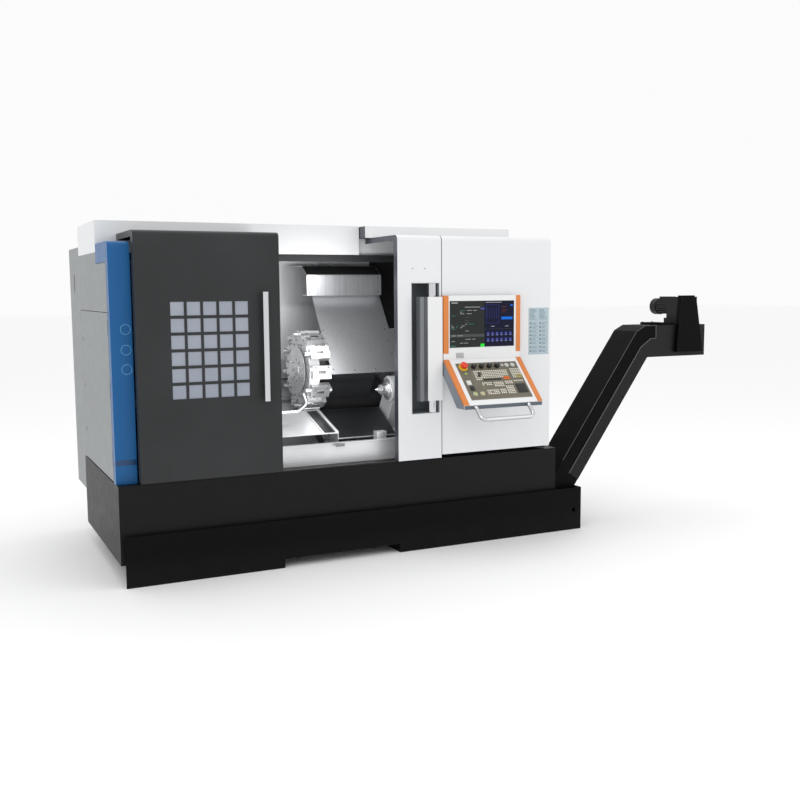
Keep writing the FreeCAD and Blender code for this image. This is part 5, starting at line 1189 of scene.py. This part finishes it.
# ---------------------------------------------------------------- spindle motor
# The spindle motor is a finned casting behind the left cover, with no fins where its foot is.
drive_axis = on_slant(0, 0.380, -0.172)
ribs = bmesh.new()
for rib in range(30):
    rib_turn = 12 * rib + 6
    place = Matrix.Translation((0, drive_axis.y, drive_axis.z)) \
        @ Matrix.Rotation(math.radians(rib_turn), 4, "X")
    if not 215 < rib_turn < 325:
        add_block(ribs, (-0.930, -0.0012, 0.1045), (-0.690, 0.0012, 0.1095), 0.0004, place, segments=1)
finished("spindle_motor_fins", ribs, motor_paint, "root")

# ---------------------------------------------------------------- camera, floor and light
# A pale seamless floor under wide soft boxes, with the camera at standing height off the left front.
floor_mesh = bpy.data.meshes.new("floor")
floor_mesh.from_pydata([(-60, -60, 0), (60, -60, 0), (60, 60, 0), (-60, 60, 0)], [], [(0, 1, 2, 3)])
floor = bpy.data.objects.new("floor", floor_mesh)
bpy.context.scene.collection.objects.link(floor)
floor_material, floor_shader, _, _ = shader_tree("pale_floor")
floor_shader.inputs["Base Color"].default_value = (0.965, 0.965, 0.970, 1)
floor_shader.inputs["Roughness"].default_value = 0.75
floor_mesh.materials.append(floor_material)

world = bpy.data.worlds.new("studio")
world.use_nodes = True
world.node_tree.nodes["Background"].inputs["Color"].default_value = (1, 1, 1, 1)
world.node_tree.nodes["Background"].inputs["Strength"].default_value = 0.97
bpy.context.scene.world = world


def soft_box(name, place, target, size, power):
    """Large area light aimed at a point."""
    light = bpy.data.lights.new(name, "AREA")
    light.shape = "RECTANGLE"
    light.size, light.size_y = size
    light.energy = power
    lamp = bpy.data.objects.new(name, light)
    lamp.location = place
    lamp.rotation_euler = (Vector(target) - Vector(place)).to_track_quat("-Z", "Y").to_euler()
    lamp.visible_camera = False
    bpy.context.scene.collection.objects.link(lamp)


work_lamp_at = Vector((door_high.x + 0.33, door_low.y + 0.12, 1.50))
soft_box("work_lamp", work_lamp_at, (work_lamp_at.x, 0.25, 0.95), (0.60, 0.05), 2.2)
soft_box("work_glow", (-0.10, -0.46, 0.80), (-0.10, 0.30, 1.10), (0.55, 0.30), 1.1)
soft_box("key_box", (-3.5, -5.5, 4.6), (0, 0, 0.9), (3.5, 3.0), 55)
soft_box("fill_box", (4.5, -5.0, 3.2), (0.3, 0, 0.9), (3.0, 3.0), 22)
soft_box("top_box", (0, 0.5, 5.5), (0, 0, 0), (5.0, 3.0), 52)

camera_data = bpy.data.cameras.new("camera")
camera_data.lens = 44.26
camera_data.sensor_width = 36
camera = bpy.data.objects.new("camera", camera_data)
yaw, pitch, roll = math.radians(25.81), math.radians(6.34), math.radians(-0.40)
look = Vector((math.sin(yaw) * math.cos(pitch), math.cos(yaw) * math.cos(pitch), -math.sin(pitch)))
right = Vector((math.cos(yaw), -math.sin(yaw), 0))
up = right.cross(look)
tilted_right = right * math.cos(roll) + up * math.sin(roll)
tilted_up = up * math.cos(roll) - right * math.sin(roll)
camera.matrix_world = Matrix.Translation((-2.045, -5.250, 1.412)) @ Matrix(
    (tilted_right, tilted_up, -look)).transposed().to_4x4()
bpy.context.scene.collection.objects.link(camera)
bpy.context.scene.camera = camera
bpy.context.scene.view_settings.view_transform = "Standard"
